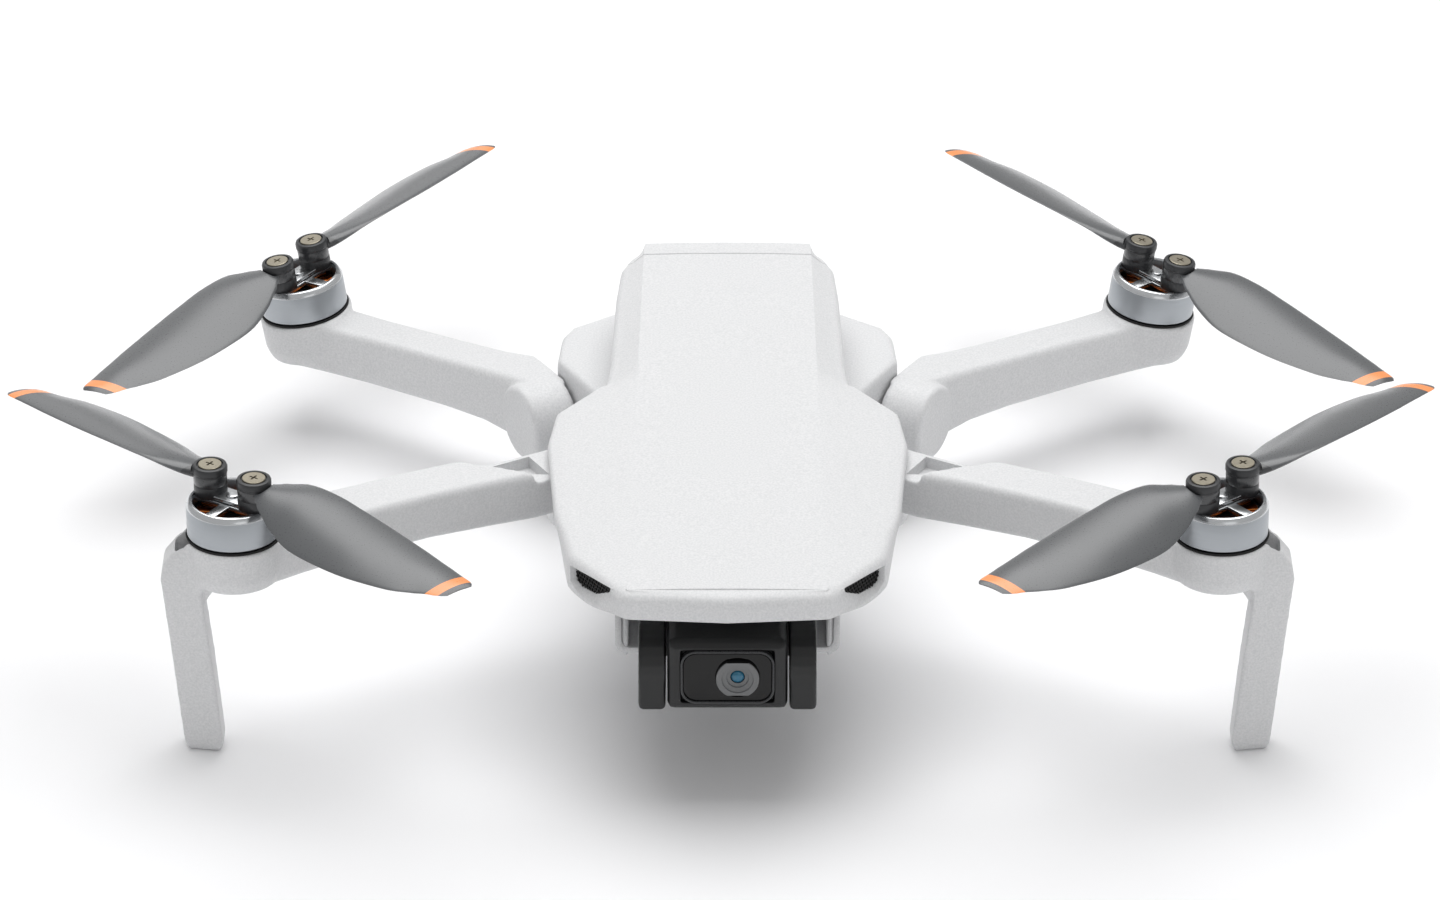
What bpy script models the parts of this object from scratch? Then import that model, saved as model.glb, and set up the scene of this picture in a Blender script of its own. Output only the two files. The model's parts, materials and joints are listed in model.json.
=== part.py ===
"""Small folding camera drone: fuselage, four folding arms, four motors with two-blade folding propellers,
a three-axis gimbal camera, a battery behind a hinged door and a cooling fan.

The nose points to -Y and the ground is z = 0. The left side of the drone is +X.
Sizes below are in millimetres; the helpers turn them into metres.
"""
import math

import bmesh
import bpy
from mathutils import Matrix, Vector

MM = 0.001
GAP = 0.35                                  # clearance between neighbouring solids

# fuselage
HOOD_TOP = 44.8
HOOD_EDGE = 42.6                            # height of the soft shoulder line around the hood
CANOPY_UNDER = 40.7                         # underside of the part that overhangs the arm roots
NOSE_UNDER = 37.0
PARTING = 29.2                              # joint between top and lower shell behind the arms
WALL = 1.6
HOOD_OUTLINE = [(0, -88), (18.6, -86.5), (28.5, -71.5), (31.2, -54.6), (33, -27.6), (31.4, -16.6),
                (22.8, -3.6), (22, 3.4), (21.2, 33.4), (20.3, 46.4), (16.3, 52.4), (0, 53.8)]
STRIP_HALF_WIDTH = 17.6                     # flat strip along the middle of the hood
TUB_HALF_WIDTH = 20.4
FRONT_TUB_HALF_WIDTH = 19.2
TUB_FRONT, TUB_REAR = -62.0, 53.0
TUB_PROFILE = [(TUB_FRONT, 17), (-30, 9.5), (-15, 9.5), (-6, 0), (43, 0), (TUB_REAR, 8.4),
               (TUB_REAR, PARTING - GAP), (-9.6, PARTING - GAP), (-9.6, 39.6), (TUB_FRONT, 36.6)]
SHOULDER_TOP, SHOULDER_UNDER = 28.5, 8.5

# front arms: vertical fold axis, arm line, motor and leg
FRONT_PIVOT = Vector((27.0, -27.1, 0))
FRONT_MOTOR = Vector((88.3, -62.8, 50.2))   # centre of the top ring of the bell
FRONT_LID = 39.7
FRONT_ROOT_UNDER = 31.6
FRONT_TOP, FRONT_UNDER = 44.0, 34.2
FRONT_HALF_WIDTH = 5.5
ROOT_RADIUS = 6.6

# rear arms: horizontal fold axis
REAR_PIVOT = Vector((30.0, 30.5, 18.5))
REAR_AXIS_DEG = -29.0
REAR_MOTOR = Vector((83.5, 62.8, 31.1))
REAR_LEAN_DEG = 8.5                         # motor axis leans outward
REAR_TOP, REAR_UNDER = 24.6, 14.0
REAR_HALF_WIDTH = 4.9
KNUCKLE_RADIUS = 7.4
HINGE_FACE = 1.5                            # distance of the shoulder's hinge face along the axis

# motors and propellers, measured from the top ring of the bell
BELL_RADIUS, BELL_HEIGHT = 8.4, 6.7
CUP_RADIUS = 9.1
PIVOT_SPACING = 4.85                        # blade pivot to motor axis
BLADE_TIP = 51.7                            # blade pivot to blade tip
BLADE_LEVEL = 3.4
BLADE_DROOP = 1.4                           # the tip hangs this much below the blade's root
# how each rotor happens to stand at rest: direction of its hub, then of its two blades, seen from above on the +X side
ROTOR_DEG = {"front_left": (40, 41, 215), "front_right": (33, 38, 217),
             "rear_left": (-42, -36, 139), "rear_right": (-50, -43, 135)}

# gimbal and camera
YAW_Y = -60.0
TILT_Y, GIMBAL_Z = -78.2, 26.4
CAMERA_HALF_WIDTH = 10.7
YOKE_HALF_WIDTH = 15.8

# battery bay
BATTERY_HALF_WIDTH, BATTERY_BASE, BATTERY_TOP = 16.4, 11.6, 27.8
BATTERY_FRONT, BATTERY_REAR = -10.0, 50.4
DOOR_PIVOT_Y, DOOR_PIVOT_Z = 52.1, 8.8

SIDES = ((1, "left"), (-1, "right"))
SHELL_GREY = (0.77, 0.77, 0.78)
DARK = (0.012, 0.012, 0.013)


def material(name, colour, roughness, metallic=0.0):
    made = bpy.data.materials.get(name)
    if made:
        return made
    made = bpy.data.materials.new(name)
    made.use_nodes = True
    shader = made.node_tree.nodes["Principled BSDF"]
    shader.inputs["Base Color"].default_value = (*colour, 1)
    shader.inputs["Roughness"].default_value = roughness
    shader.inputs["Metallic"].default_value = metallic
    made.diffuse_color = (*colour, 1)
    return made


def mesh_object(bm):
    bmesh.ops.recalc_face_normals(bm, faces=bm.faces)
    mesh = bpy.data.meshes.new("work")
    bm.to_mesh(mesh)
    bm.free()
    made = bpy.data.objects.new("work", mesh)
    PARTS.objects.link(made)
    return made


def box(x0, x1, y0, y1, z0, z1):
    bm = bmesh.new()
    size = Vector((x1 - x0, y1 - y0, z1 - z0))
    centre = Vector((x0 + x1, y0 + y1, z0 + z1)) / 2
    bmesh.ops.create_cube(bm, size=1, matrix=Matrix.Translation(centre) @ Matrix.Diagonal((*size, 1)))
    return mesh_object(bm)


def cylinder(radius, low, high, axis=(0, 0, 1), through=(0, 0, 0), sides=24, top_radius=None):
    """A cylinder or cone whose axis passes through a point; low and high are measured along the axis from it."""
    bm = bmesh.new()
    turn = Vector((0, 0, 1)).rotation_difference(Vector(axis).normalized()).to_matrix().to_4x4()
    place = Matrix.Translation(through) @ turn @ Matrix.Translation((0, 0, (low + high) / 2))
    upper = radius if top_radius is None else top_radius
    bmesh.ops.create_cone(bm, cap_ends=True, segments=sides, radius1=radius, radius2=upper,
                          depth=high - low, matrix=place)
    return mesh_object(bm)


def plate(outline, low, high, across="z"):
    """A flat outline made thick: in plan between two heights, or across X for a side profile given as (y, z)."""
    curve = bpy.data.curves.new("outline", "CURVE")
    curve.dimensions = "2D"
    curve.fill_mode = "BOTH"
    curve.extrude = (high - low) / 2
    spline = curve.splines.new("POLY")
    spline.points.add(len(outline) - 1)
    for point, (u, v) in zip(spline.points, outline):
        point.co = (u, v, 0, 1)
    spline.use_cyclic_u = True
    holder = bpy.data.objects.new("outline", curve)
    PARTS.objects.link(holder)
    bpy.context.view_layer.update()
    mesh = bpy.data.meshes.new_from_object(holder.evaluated_get(bpy.context.evaluated_depsgraph_get()))
    bpy.data.objects.remove(holder)
    bm = bmesh.new()
    bm.from_mesh(mesh)
    bmesh.ops.remove_doubles(bm, verts=bm.verts, dist=0.01)
    bmesh.ops.translate(bm, verts=bm.verts, vec=(0, 0, (low + high) / 2))
    if across == "x":
        bmesh.ops.transform(bm, verts=bm.verts, matrix=Matrix(((0, 0, 1, 0), (1, 0, 0, 0), (0, 1, 0, 0), (0, 0, 0, 1))))
    return mesh_object(bm)


def loft(rings):
    """A closed skin through rings of the same number of points."""
    bm = bmesh.new()
    levels = [[bm.verts.new(point) for point in ring] for ring in rings]
    count = len(levels[0])
    for lower, upper in zip(levels, levels[1:]):
        for i in range(count):
            bm.faces.new((lower[i], lower[(i + 1) % count], upper[(i + 1) % count], upper[i]))
    bm.faces.new(levels[0][::-1])
    bm.faces.new(levels[-1])
    bmesh.ops.triangulate(bm, faces=bm.faces)
    return mesh_object(bm)


def bake(made):
    bpy.context.view_layer.update()
    mesh = bpy.data.meshes.new_from_object(made.evaluated_get(bpy.context.evaluated_depsgraph_get()))
    made.modifiers.clear()
    made.data = mesh
    bm = bmesh.new()
    bm.from_mesh(mesh)
    bmesh.ops.remove_doubles(bm, verts=bm.verts, dist=0.005)
    bmesh.ops.dissolve_degenerate(bm, edges=bm.edges, dist=0.002)
    bmesh.ops.triangulate(bm, faces=[f for f in bm.faces if len(f.verts) > 4])
    bm.to_mesh(mesh)
    bm.free()
    return made


def combine(made, tools, operation):
    for tool in tools:
        step = made.modifiers.new(operation.lower(), "BOOLEAN")
        step.operation = operation
        step.solver = "EXACT"
        step.object = tool
    bake(made)
    for tool in tools:
        bpy.data.objects.remove(tool)
    return made


def join(made, *tools):
    return combine(made, tools, "UNION")


def cut(made, *tools):
    return combine(made, tools, "DIFFERENCE")


def soften(made, width, segments=2, angle=35):
    step = made.modifiers.new("edges", "BEVEL")
    step.width = width
    step.segments = segments
    step.limit_method = "ANGLE"
    step.angle_limit = math.radians(angle)
    return bake(made)


def move(made, matrix):
    made.data.transform(matrix)
    return made


def finish(made, name, look, origin=(0, 0, 0), side=1):
    """Names the piece, mirrors it to its side, sets its origin and turns millimetres into metres."""
    bm = bmesh.new()
    bm.from_mesh(made.data)
    if side < 0:
        bmesh.ops.scale(bm, vec=(-1, 1, 1), verts=bm.verts)
        bmesh.ops.reverse_faces(bm, faces=bm.faces)
    place = Vector(origin)
    place.x *= side
    bmesh.ops.translate(bm, verts=bm.verts, vec=-place)
    bmesh.ops.scale(bm, vec=(MM, MM, MM), verts=bm.verts)
    bmesh.ops.remove_doubles(bm, verts=bm.verts, dist=0.00002)
    bmesh.ops.dissolve_degenerate(bm, edges=bm.edges, dist=0.00001)
    bmesh.ops.recalc_face_normals(bm, faces=bm.faces)
    bm.to_mesh(made.data)
    bm.free()
    made.location = place * MM
    made.name = name
    made.data.name = name
    made.data.materials.clear()
    made.data.materials.append(look)
    made.data.shade_smooth()
    made.data.set_sharp_from_angle(angle=math.radians(32))
    return made


def hood_ring(inset, height, narrow=0.0):
    """The plan outline of the hood at one height; narrow moves its side points in to the middle strip."""
    half = []
    for x, y in HOOD_OUTLINE:
        side_x = max(x - inset, 0) if x else 0
        if narrow and x:
            side_x = min(side_x, STRIP_HALF_WIDTH - narrow * (y + 88) / 140)
        half.append((side_x, y + inset if y < -60 else y - inset if y > 50 else y, height))
    return half + [(-x, y, z) for x, y, z in half[-2:0:-1]]


def nose_ring(inset, height, rear=-46):
    half = [(x - inset if x else 0, y + inset, height) for x, y in HOOD_OUTLINE[:4]]
    half.append((half[-1][0], rear, height))
    half.append((0, rear, height))
    return half + [(-x, y, z) for x, y, z in half[-2:0:-1]]


def make_top_shell(look):
    shell = loft([hood_ring(0.4, CANOPY_UNDER), hood_ring(0, 41.4), hood_ring(0.2, HOOD_EDGE),
                  hood_ring(1.2, HOOD_TOP - 0.6, 1.2), hood_ring(2.6, HOOD_TOP, 3.0)])
    spine = plate([(21.2, -9), (20.7, 33), (19.7, 46), (15.9, 51.6), (0, 53.0),
                   (-15.9, 51.6), (-19.7, 46), (-20.7, 33), (-21.2, -9)], PARTING, 41.9)
    nose = loft([nose_ring(1.2, NOSE_UNDER), nose_ring(0.6, NOSE_UNDER + 1), nose_ring(0.5, 41.9)])
    join(shell, spine)
    join(shell, nose)
    inner = loft([hood_ring(WALL + 0.3, CANOPY_UNDER - 3), hood_ring(WALL, 41.6),
                  hood_ring(WALL + 0.6, HOOD_TOP - 1.7, 1.2)])
    bay = plate([(-19.4, -7.4), (19.4, -7.4), (19.0, 33), (18.1, 45), (15.0, 50.0), (-15.0, 50.0),
                 (-18.1, 45), (-19.0, 33)], PARTING - 2, 42.3)
    nose_bay = loft([nose_ring(WALL + 0.2, NOSE_UNDER - 3, -40), nose_ring(WALL + 0.2, 42.3, -40)])
    join(inner, bay)
    join(inner, nose_bay)
    cut(shell, inner)
    across = Vector((9.9, 15.0, 0)).normalized()
    out = Vector((across.y, -across.x, 0))
    frame = Matrix.Translation((23.6, -79.0, 39.6)) @ Matrix((across, (0, 0, 1), out)).transposed().to_4x4()
    cut(shell, *pair(move(box(-5.8, 5.8, -1.8, 1.8, -6, 5), frame)))
    for side, side_name in SIDES:
        grille = move(box(-5.2, 5.2, -1.4, 1.4, -0.6, 0.0), frame)
        finish(grille, f"intake_grille_{side_name}", material("grille_black", DARK, 0.6), side=side)
    return finish(shell, "top_shell", look)


def shoulder():
    axis = Vector((math.cos(math.radians(REAR_AXIS_DEG)), math.sin(math.radians(REAR_AXIS_DEG)), 0))
    along = Vector((-axis.y, axis.x, 0))
    face = REAR_PIVOT + axis * HINGE_FACE
    corner = face + along * 2.6
    inner = face - along * ((face.x - 18.5) / along.x)
    return plate([(inner.x, inner.y), (corner.x, corner.y), (31.8, 42.0), (29.8, 46.4), (21.2, 52.8), (18.5, 52.8)],
                 SHOULDER_UNDER, SHOULDER_TOP)


def mirrored(made):
    copy = bpy.data.objects.new("work", made.data.copy())
    PARTS.objects.link(copy)
    bm = bmesh.new()
    bm.from_mesh(copy.data)
    bmesh.ops.scale(bm, vec=(-1, 1, 1), verts=bm.verts)
    bmesh.ops.reverse_faces(bm, faces=bm.faces)
    bm.to_mesh(copy.data)
    bm.free()
    return copy


def pair(made):
    return made, mirrored(made)


def rear_axis():
    angle = math.radians(REAR_AXIS_DEG)
    return Vector((math.cos(angle), math.sin(angle), 0))


def make_lower_shell(look):
    shell = plate(TUB_PROFILE, -TUB_HALF_WIDTH, TUB_HALF_WIDTH, across="x")
    cut(shell, *pair(box(FRONT_TUB_HALF_WIDTH, 40, -70, -7.6, 0, 60)))
    soften(shell, 1.2)
    join(shell, *pair(soften(shoulder(), 1.0)))
    lug = join(box(17.5, FRONT_PIVOT.x, FRONT_PIVOT.y - 6.3, FRONT_PIVOT.y + 6.3, 26.8, FRONT_ROOT_UNDER - GAP),
               cylinder(6.3, 26.8, FRONT_ROOT_UNDER - GAP, through=FRONT_PIVOT))
    join(shell, *pair(lug))
    inner = [(-44, 17), (-30, 9.5 + WALL), (-14, 9.5 + WALL), (-5, WALL), (43, WALL), (TUB_REAR - WALL, 8.4 + WALL),
             (TUB_REAR - WALL, 60), (-44, 60)]
    cut(shell, plate(inner, -FRONT_TUB_HALF_WIDTH + WALL, FRONT_TUB_HALF_WIDTH - WALL, across="x"))
    cut(shell, box(-17.9, 17.9, -70, -46, 0, 45))
    cut(shell, box(-17, 17, TUB_REAR - 4, TUB_REAR + 4, 9.9, PARTING + 4))
    cut(shell, cylinder(2.2, -17, 17, axis=(1, 0, 0), through=(0, DOOR_PIVOT_Y, DOOR_PIVOT_Z)))
    cut(shell, cylinder(3.3, -1, 4, through=(0, 16, 0)))
    cut(shell, box(-7.4, 7.4, 28.6, 37.4, -1, 4))
    cut(shell, *pair(cylinder(1.5 + GAP, 20, 40, through=FRONT_PIVOT)))
    cut(shell, *pair(cylinder(1.5 + GAP, -6, 10, axis=rear_axis(), through=REAR_PIVOT)))
    return finish(shell, "lower_shell", look)


def make_front_arm(side, name, look):
    line = (FRONT_MOTOR - FRONT_PIVOT).to_2d()
    reach = line.length
    arm = plate([(0, -FRONT_HALF_WIDTH), (9, -FRONT_HALF_WIDTH), (reach, -FRONT_HALF_WIDTH - 1.2),
                 (reach, FRONT_HALF_WIDTH + 0.6), (9, FRONT_HALF_WIDTH), (0, FRONT_HALF_WIDTH)],
                FRONT_ROOT_UNDER, FRONT_TOP)
    cut(arm, plate([(-9, -9), (11.4, -9), (11.4, -5.8), (24.5, 6), (24.5, 9), (-9, 9)], FRONT_LID, 50))
    cut(arm, box(16, reach + 20, -20, 20, 0, FRONT_UNDER))
    soften(arm, 0.9)
    join(arm, cylinder(ROOT_RADIUS, FRONT_ROOT_UNDER, FRONT_LID))
    angle = math.atan2(line.y, line.x)
    move(arm, Matrix.Translation(FRONT_PIVOT) @ Matrix.Rotation(angle, 4, "Z"))
    rim = FRONT_MOTOR.z - BELL_HEIGHT - 0.5
    join(arm, cylinder(CUP_RADIUS - 0.8, FRONT_UNDER - 0.4, rim, through=(FRONT_MOTOR.x, FRONT_MOTOR.y, 0),
                       top_radius=CUP_RADIUS))
    leg = loft([[(88.6, -66.6, 42.2), (98.6, -66.6, 42.2), (98.6, -61.2, 42.2), (88.6, -61.2, 42.2)],
                [(92.6, -67.9, 36.0), (101.4, -66.8, 36.0), (101.4, -60.8, 36.0), (92.6, -60.8, 36.0)],
                [(94.2, -68.0, 33.6), (101.3, -66.4, 33.6), (101.3, -60.8, 33.6), (94.2, -60.8, 33.6)],
                [(91.2, -67.4, 1.5), (98.4, -65.8, 1.5), (98.2, -60.8, 1.5), (91.0, -60.8, 1.5)],
                [(92.2, -66.8, 0), (97.4, -65.4, 0), (97.2, -61.6, 0), (92.0, -61.6, 0)]])
    join(arm, leg)
    under_bell = Vector((FRONT_MOTOR.x, FRONT_MOTOR.y, 0))
    cut(arm, cylinder(CUP_RADIUS - 0.1, rim, rim + 20, through=under_bell))
    cut(arm, cylinder(7.6, rim - 2.6, rim + 20, through=under_bell))
    cut(arm, cylinder(1.5 + GAP, 20, 60, through=FRONT_PIVOT))
    return finish(arm, name, look, FRONT_PIVOT, side)


def make_rear_arm(side, name, look):
    line = (REAR_MOTOR - REAR_PIVOT).to_2d()
    reach = line.length
    axis = rear_axis()
    arm = plate([(2, -REAR_HALF_WIDTH), (reach, -REAR_HALF_WIDTH - 1), (reach, REAR_HALF_WIDTH + 1),
                 (2, REAR_HALF_WIDTH)], REAR_UNDER, REAR_TOP)
    soften(arm, 1.2)
    move(arm, Matrix.Translation((REAR_PIVOT.x, REAR_PIVOT.y, 0)) @ Matrix.Rotation(math.atan2(line.y, line.x), 4, "Z"))
    join(arm, cylinder(KNUCKLE_RADIUS, HINGE_FACE, 11.5, axis=axis, through=REAR_PIVOT))
    half = box(-30, HINGE_FACE + GAP, -40, 40, -40, 40)
    move(half, Matrix.Translation(REAR_PIVOT) @ Matrix.Rotation(math.radians(REAR_AXIS_DEG), 4, "Z"))
    cut(arm, half)
    frame = motor_frame(REAR_MOTOR, REAR_LEAN_DEG)
    rim = -BELL_HEIGHT - 0.5
    join(arm, move(cylinder(CUP_RADIUS - 0.4, rim - 9.6, rim, top_radius=CUP_RADIUS), frame))
    cut(arm, move(cylinder(7.6, rim - 2.6, rim + 20), frame))
    cut(arm, cylinder(1.5 + GAP, -5, 9.4, axis=axis, through=REAR_PIVOT))
    return finish(arm, name, look, REAR_PIVOT, side)


def motor_frame(centre, lean_deg):
    return Matrix.Translation(centre) @ Matrix.Rotation(math.radians(lean_deg), 4, "Y")


def blade_section(station, chord, thickness, twist_deg, lead):
    """One profile across the blade: rounded leading edge, thin trailing edge, turned by the local pitch."""
    shape = [(0, 0.05), (0.12, 0.5), (0.4, 0.55), (0.75, 0.3), (1, 0), (0.75, -0.25), (0.4, -0.45), (0.12, -0.4)]
    turn = math.radians(twist_deg)
    ring = []
    for along, high in shape:
        across = lead - along * chord
        height = high * thickness
        sag = BLADE_DROOP * (station / BLADE_TIP) ** 2
        ring.append((station, across * math.cos(turn) - height * math.sin(turn),
                     across * math.sin(turn) + height * math.cos(turn) - sag))
    return ring


def make_blade(place, spin, side, name, look):
    stations = [(1.9, 4.6, 2.0, 0, 2.3), (4.5, 8.0, 1.9, 10, 3.8), (9, 12.1, 1.5, 18.3, 5.4), (15, 14.7, 1.2, 19.2, 5.6),
                (21, 15.0, 1.1, 17.8, 5.0), (30, 14.2, 1.0, 14.8, 3.9), (39, 11.8, 0.8, 12.3, 2.6),
                (46, 8.7, 0.7, 10.5, 1.4), (50.3, 6.5, 0.6, 7, 0.6), (BLADE_TIP, 4.6, 0.5, 6, 0.2)]
    blade = loft([blade_section(*row) for row in stations])
    join(blade, cylinder(3.2, -1.55, 1.55, sides=18))
    cut(blade, cylinder(0.9 + GAP, -4, 4, sides=12))
    if spin < 0:
        bm = bmesh.new()
        bm.from_mesh(blade.data)
        bmesh.ops.scale(bm, vec=(1, -1, 1), verts=bm.verts)
        bmesh.ops.reverse_faces(bm, faces=bm.faces)
        bm.to_mesh(blade.data)
        bm.free()
    move(blade, place)
    return finish(blade, name, look, place.translation, side)


def make_motor(corner, centre, lean_deg, spin, side):
    frame = motor_frame(centre, lean_deg)
    hub_deg, *blade_degs = ROTOR_DEG[corner]
    turn = frame @ Matrix.Rotation(math.radians(hub_deg), 4, "Z")
    steel = material("satin_aluminium", (0.42, 0.43, 0.45), 0.3, 1.0)
    origin = frame.translation

    bell = cylinder(BELL_RADIUS, -BELL_HEIGHT, 0, sides=32)
    cut(bell, cylinder(7.2, -20, 3, sides=32))
    spokes = join(box(-7.6, 7.6, -1.1, 1.1, -1.3, -0.3), cylinder(2.4, -1.3, -0.3, sides=20),
                  box(-1.1, 1.1, -7.6, 7.6, -1.3, -0.3))
    join(bell, spokes)
    cut(bell, cylinder(0.9 + GAP, -5, 5, sides=12))
    finish(move(bell, turn), corner + "_motor_bell", steel, origin, side)

    stator = cylinder(6.5, -8.6, -2.0, sides=20)
    cut(stator, cylinder(0.9 + GAP, -20, 5, sides=12))
    finish(move(stator, frame), corner + "_stator", material("copper_winding", (0.45, 0.2, 0.08), 0.4, 1.0),
           origin, side)

    shaft = cylinder(0.9, -8.4, 0.0, sides=12)
    finish(move(shaft, frame), corner + "_motor_shaft", material("polished_steel", (0.6, 0.6, 0.6), 0.2, 1.0),
           origin, side)

    hub = join(box(-PIVOT_SPACING, PIVOT_SPACING, -2.2, 2.2, 0.35, 1.5),
               cylinder(3.2, 0.35, 1.5, through=(PIVOT_SPACING, 0, 0), sides=20),
               cylinder(3.2, 0.35, 1.5, through=(-PIVOT_SPACING, 0, 0), sides=20))
    finish(move(hub, turn), corner + "_propeller_hub", material("hub_dark", (0.03, 0.03, 0.032), 0.4), origin, side)

    for number, half_turn, blade_deg in ((1, 0, blade_degs[0]), (2, 180, blade_degs[1])):
        place = frame @ Matrix.Rotation(math.radians(hub_deg + half_turn), 4, "Z")
        fold = Matrix.Rotation(math.radians(blade_deg - hub_deg - half_turn), 4, "Z")
        make_blade(place @ Matrix.Translation((PIVOT_SPACING, 0, BLADE_LEVEL)) @ fold, spin, side,
                   f"{corner}_blade_{number}", material("blade_grey", (0.14, 0.145, 0.15), 0.35))
        screw = join(cylinder(2.9, 5.15, 5.8, sides=20), cylinder(0.9, 1.85, 5.3, sides=12))
        move(screw, place @ Matrix.Translation((PIVOT_SPACING, 0, 0)))
        finish(screw, f"{corner}_blade_screw_{number}", material("nickel", (0.5, 0.45, 0.38), 0.3, 1.0),
               origin, side)


def make_gimbal():
    black = material("gimbal_black", (0.016, 0.016, 0.017), 0.42)
    yaw = Vector((0, YAW_Y, GIMBAL_Z))
    plate_part = box(-11, 11, YAW_Y - 5, YAW_Y + 10, 41.9, 42.8)
    finish(soften(plate_part, 0.3, 1), "gimbal_damper_plate", black)

    yaw_arm = cylinder(5.6, 35.2, 41.5, through=(0, YAW_Y, 0))
    join(yaw_arm, box(-3.6, 3.6, YAW_Y + 2, YAW_Y + 5.2, GIMBAL_Z - 3, 37))
    join(yaw_arm, cylinder(5.6, -6.2, 5.4, axis=(0, 1, 0), through=yaw))
    finish(yaw_arm, "gimbal_yaw_arm", black, yaw)

    back = YAW_Y - 6.6
    yoke = plate([(TILT_Y + 12, GIMBAL_Z - 5), (TILT_Y + 12, GIMBAL_Z + 5), (TILT_Y, GIMBAL_Z + 6.2),
                  (TILT_Y, GIMBAL_Z - 6.2)], -YOKE_HALF_WIDTH, YOKE_HALF_WIDTH, across="x")
    cut(yoke, box(-40, 40, back, back + 20, 0, 60))
    join(yoke, cylinder(6.7, -YOKE_HALF_WIDTH, YOKE_HALF_WIDTH, axis=(1, 0, 0), through=(0, TILT_Y, GIMBAL_Z)))
    soften(yoke, 0.7, 2, 50)
    slot = CAMERA_HALF_WIDTH + GAP
    cut(yoke, box(-slot, slot, TILT_Y - 20, back - 2.2, 0, 60))
    finish(yoke, "gimbal_roll_yoke", black, (0, YAW_Y, GIMBAL_Z))

    tilt = Vector((0, TILT_Y, GIMBAL_Z))
    camera = box(-CAMERA_HALF_WIDTH, CAMERA_HALF_WIDTH, TILT_Y - 7.2, TILT_Y + 6.6, GIMBAL_Z - 7.2, GIMBAL_Z + 7.2)
    soften(camera, 1.4, 2)
    limit = cylinder(9.2, -30, 30, axis=(1, 0, 0), through=tilt, sides=40)
    combine(camera, [limit], "INTERSECT")
    front = TILT_Y - 7.2
    cut(camera, box(-8.3, 8.3, front - 5, front + 1.2, GIMBAL_Z - 5.3, GIMBAL_Z + 5.3))
    cut(camera, cylinder(4.6, front, front + 7, axis=(0, 1, 0), through=(1.8, 0, GIMBAL_Z)))
    finish(camera, "camera_housing", black, tilt)
    window = box(-7.9, 7.9, front - 0.2, front + 0.7, GIMBAL_Z - 4.9, GIMBAL_Z + 4.9)
    soften(window, 0.3, 1)
    cut(window, cylinder(4.2, front - 4, front + 4, axis=(0, 1, 0), through=(1.8, 0, GIMBAL_Z)))
    finish(window, "camera_window", material("window_gloss", (0.005, 0.005, 0.006), 0.06), tilt)
    lens = cylinder(3.8, front - 1.1, front + 6.5, axis=(0, 1, 0), through=(1.8, 0, GIMBAL_Z))
    cut(lens, cylinder(3.0, front - 4, front - 0.3, axis=(0, 1, 0), through=(1.8, 0, GIMBAL_Z)))
    finish(lens, "lens_barrel", material("lens_glass", (0.02, 0.05, 0.055), 0.08), tilt)


def make_insides():
    board_look = material("board_green", (0.01, 0.06, 0.035), 0.5)
    alloy = material("cast_alloy", (0.5, 0.5, 0.52), 0.45, 1.0)
    board = box(-17.5, 17.5, 2, 46, 31.0, 32.4)
    join(board, box(-8, 8, 8, 22, 32.2, 34.6), box(-14, -6, 26, 34, 32.2, 34))
    finish(board, "mainboard", board_look)
    gps = box(-9, 9, 27, 43, 36.6, 40.4)
    finish(soften(gps, 0.5, 1), "satellite_receiver", material("ceramic", (0.6, 0.56, 0.46), 0.5))
    sink = box(-14, 14, -30, -12, 12.0, 14.0)
    join(sink, *[box(-14 + i * 3.86, -12.7 + i * 3.86, -30, -12, 13.5, 23) for i in range(8)])
    finish(sink, "heat_sink", alloy)
    fan = cylinder(3.2, 26, 34, through=(0, -30, 0))
    vanes = []
    for i in range(9):
        vane = box(2.5, 11.5, -0.4, 0.4, 27, 33.5)
        vanes.append(move(vane, Matrix.Translation((0, -30, 0)) @ Matrix.Rotation(math.tau * i / 9, 4, "Z")))
    join(fan, *vanes)
    finish(fan, "cooling_fan", material("fan_black", DARK, 0.5), (0, -30, 30))

    battery = box(-BATTERY_HALF_WIDTH, BATTERY_HALF_WIDTH, BATTERY_FRONT, BATTERY_REAR, BATTERY_BASE, BATTERY_TOP)
    finish(soften(battery, 1.0), "battery_pack", material("battery_grey", (0.08, 0.08, 0.085), 0.5))
    door = box(-16.6, 16.6, DOOR_PIVOT_Y - 1.2, DOOR_PIVOT_Y + 0.9, 10.2, PARTING - 0.7)
    join(door, cylinder(1.2, -15, 15, axis=(1, 0, 0), through=(0, DOOR_PIVOT_Y, DOOR_PIVOT_Z), sides=20),
         box(-15, 15, DOOR_PIVOT_Y - 0.8, DOOR_PIVOT_Y + 0.8, DOOR_PIVOT_Z, 11))
    cut(door, cylinder(0.9, -20, 20, axis=(1, 0, 0), through=(0, DOOR_PIVOT_Y, DOOR_PIVOT_Z), sides=12))
    finish(door, "battery_door", material("shell_grey", SHELL_GREY, 0.5), (0, DOOR_PIVOT_Y, DOOR_PIVOT_Z))
    pin = cylinder(0.5, -16, 16, axis=(1, 0, 0), through=(0, DOOR_PIVOT_Y, DOOR_PIVOT_Z), sides=12)
    finish(pin, "battery_door_pin", material("polished_steel", (0.6, 0.6, 0.6), 0.2, 1.0))

    button = join(cylinder(2.9, 0.4, 2.6), cylinder(4.2, 2.2, 3.2))
    move(button, Matrix.Translation((0, 16, 0)))
    finish(button, "power_button", material("button_grey", (0.35, 0.35, 0.36), 0.5), (0, 16, 0.4))
    window = join(box(-7, 7, 29, 37, 0.4, 2.4), box(-8.4, 8.4, 28, 38, 2.0, 2.8))
    finish(window, "belly_sensor_window", material("window_gloss", (0.005, 0.005, 0.006), 0.06))


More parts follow.
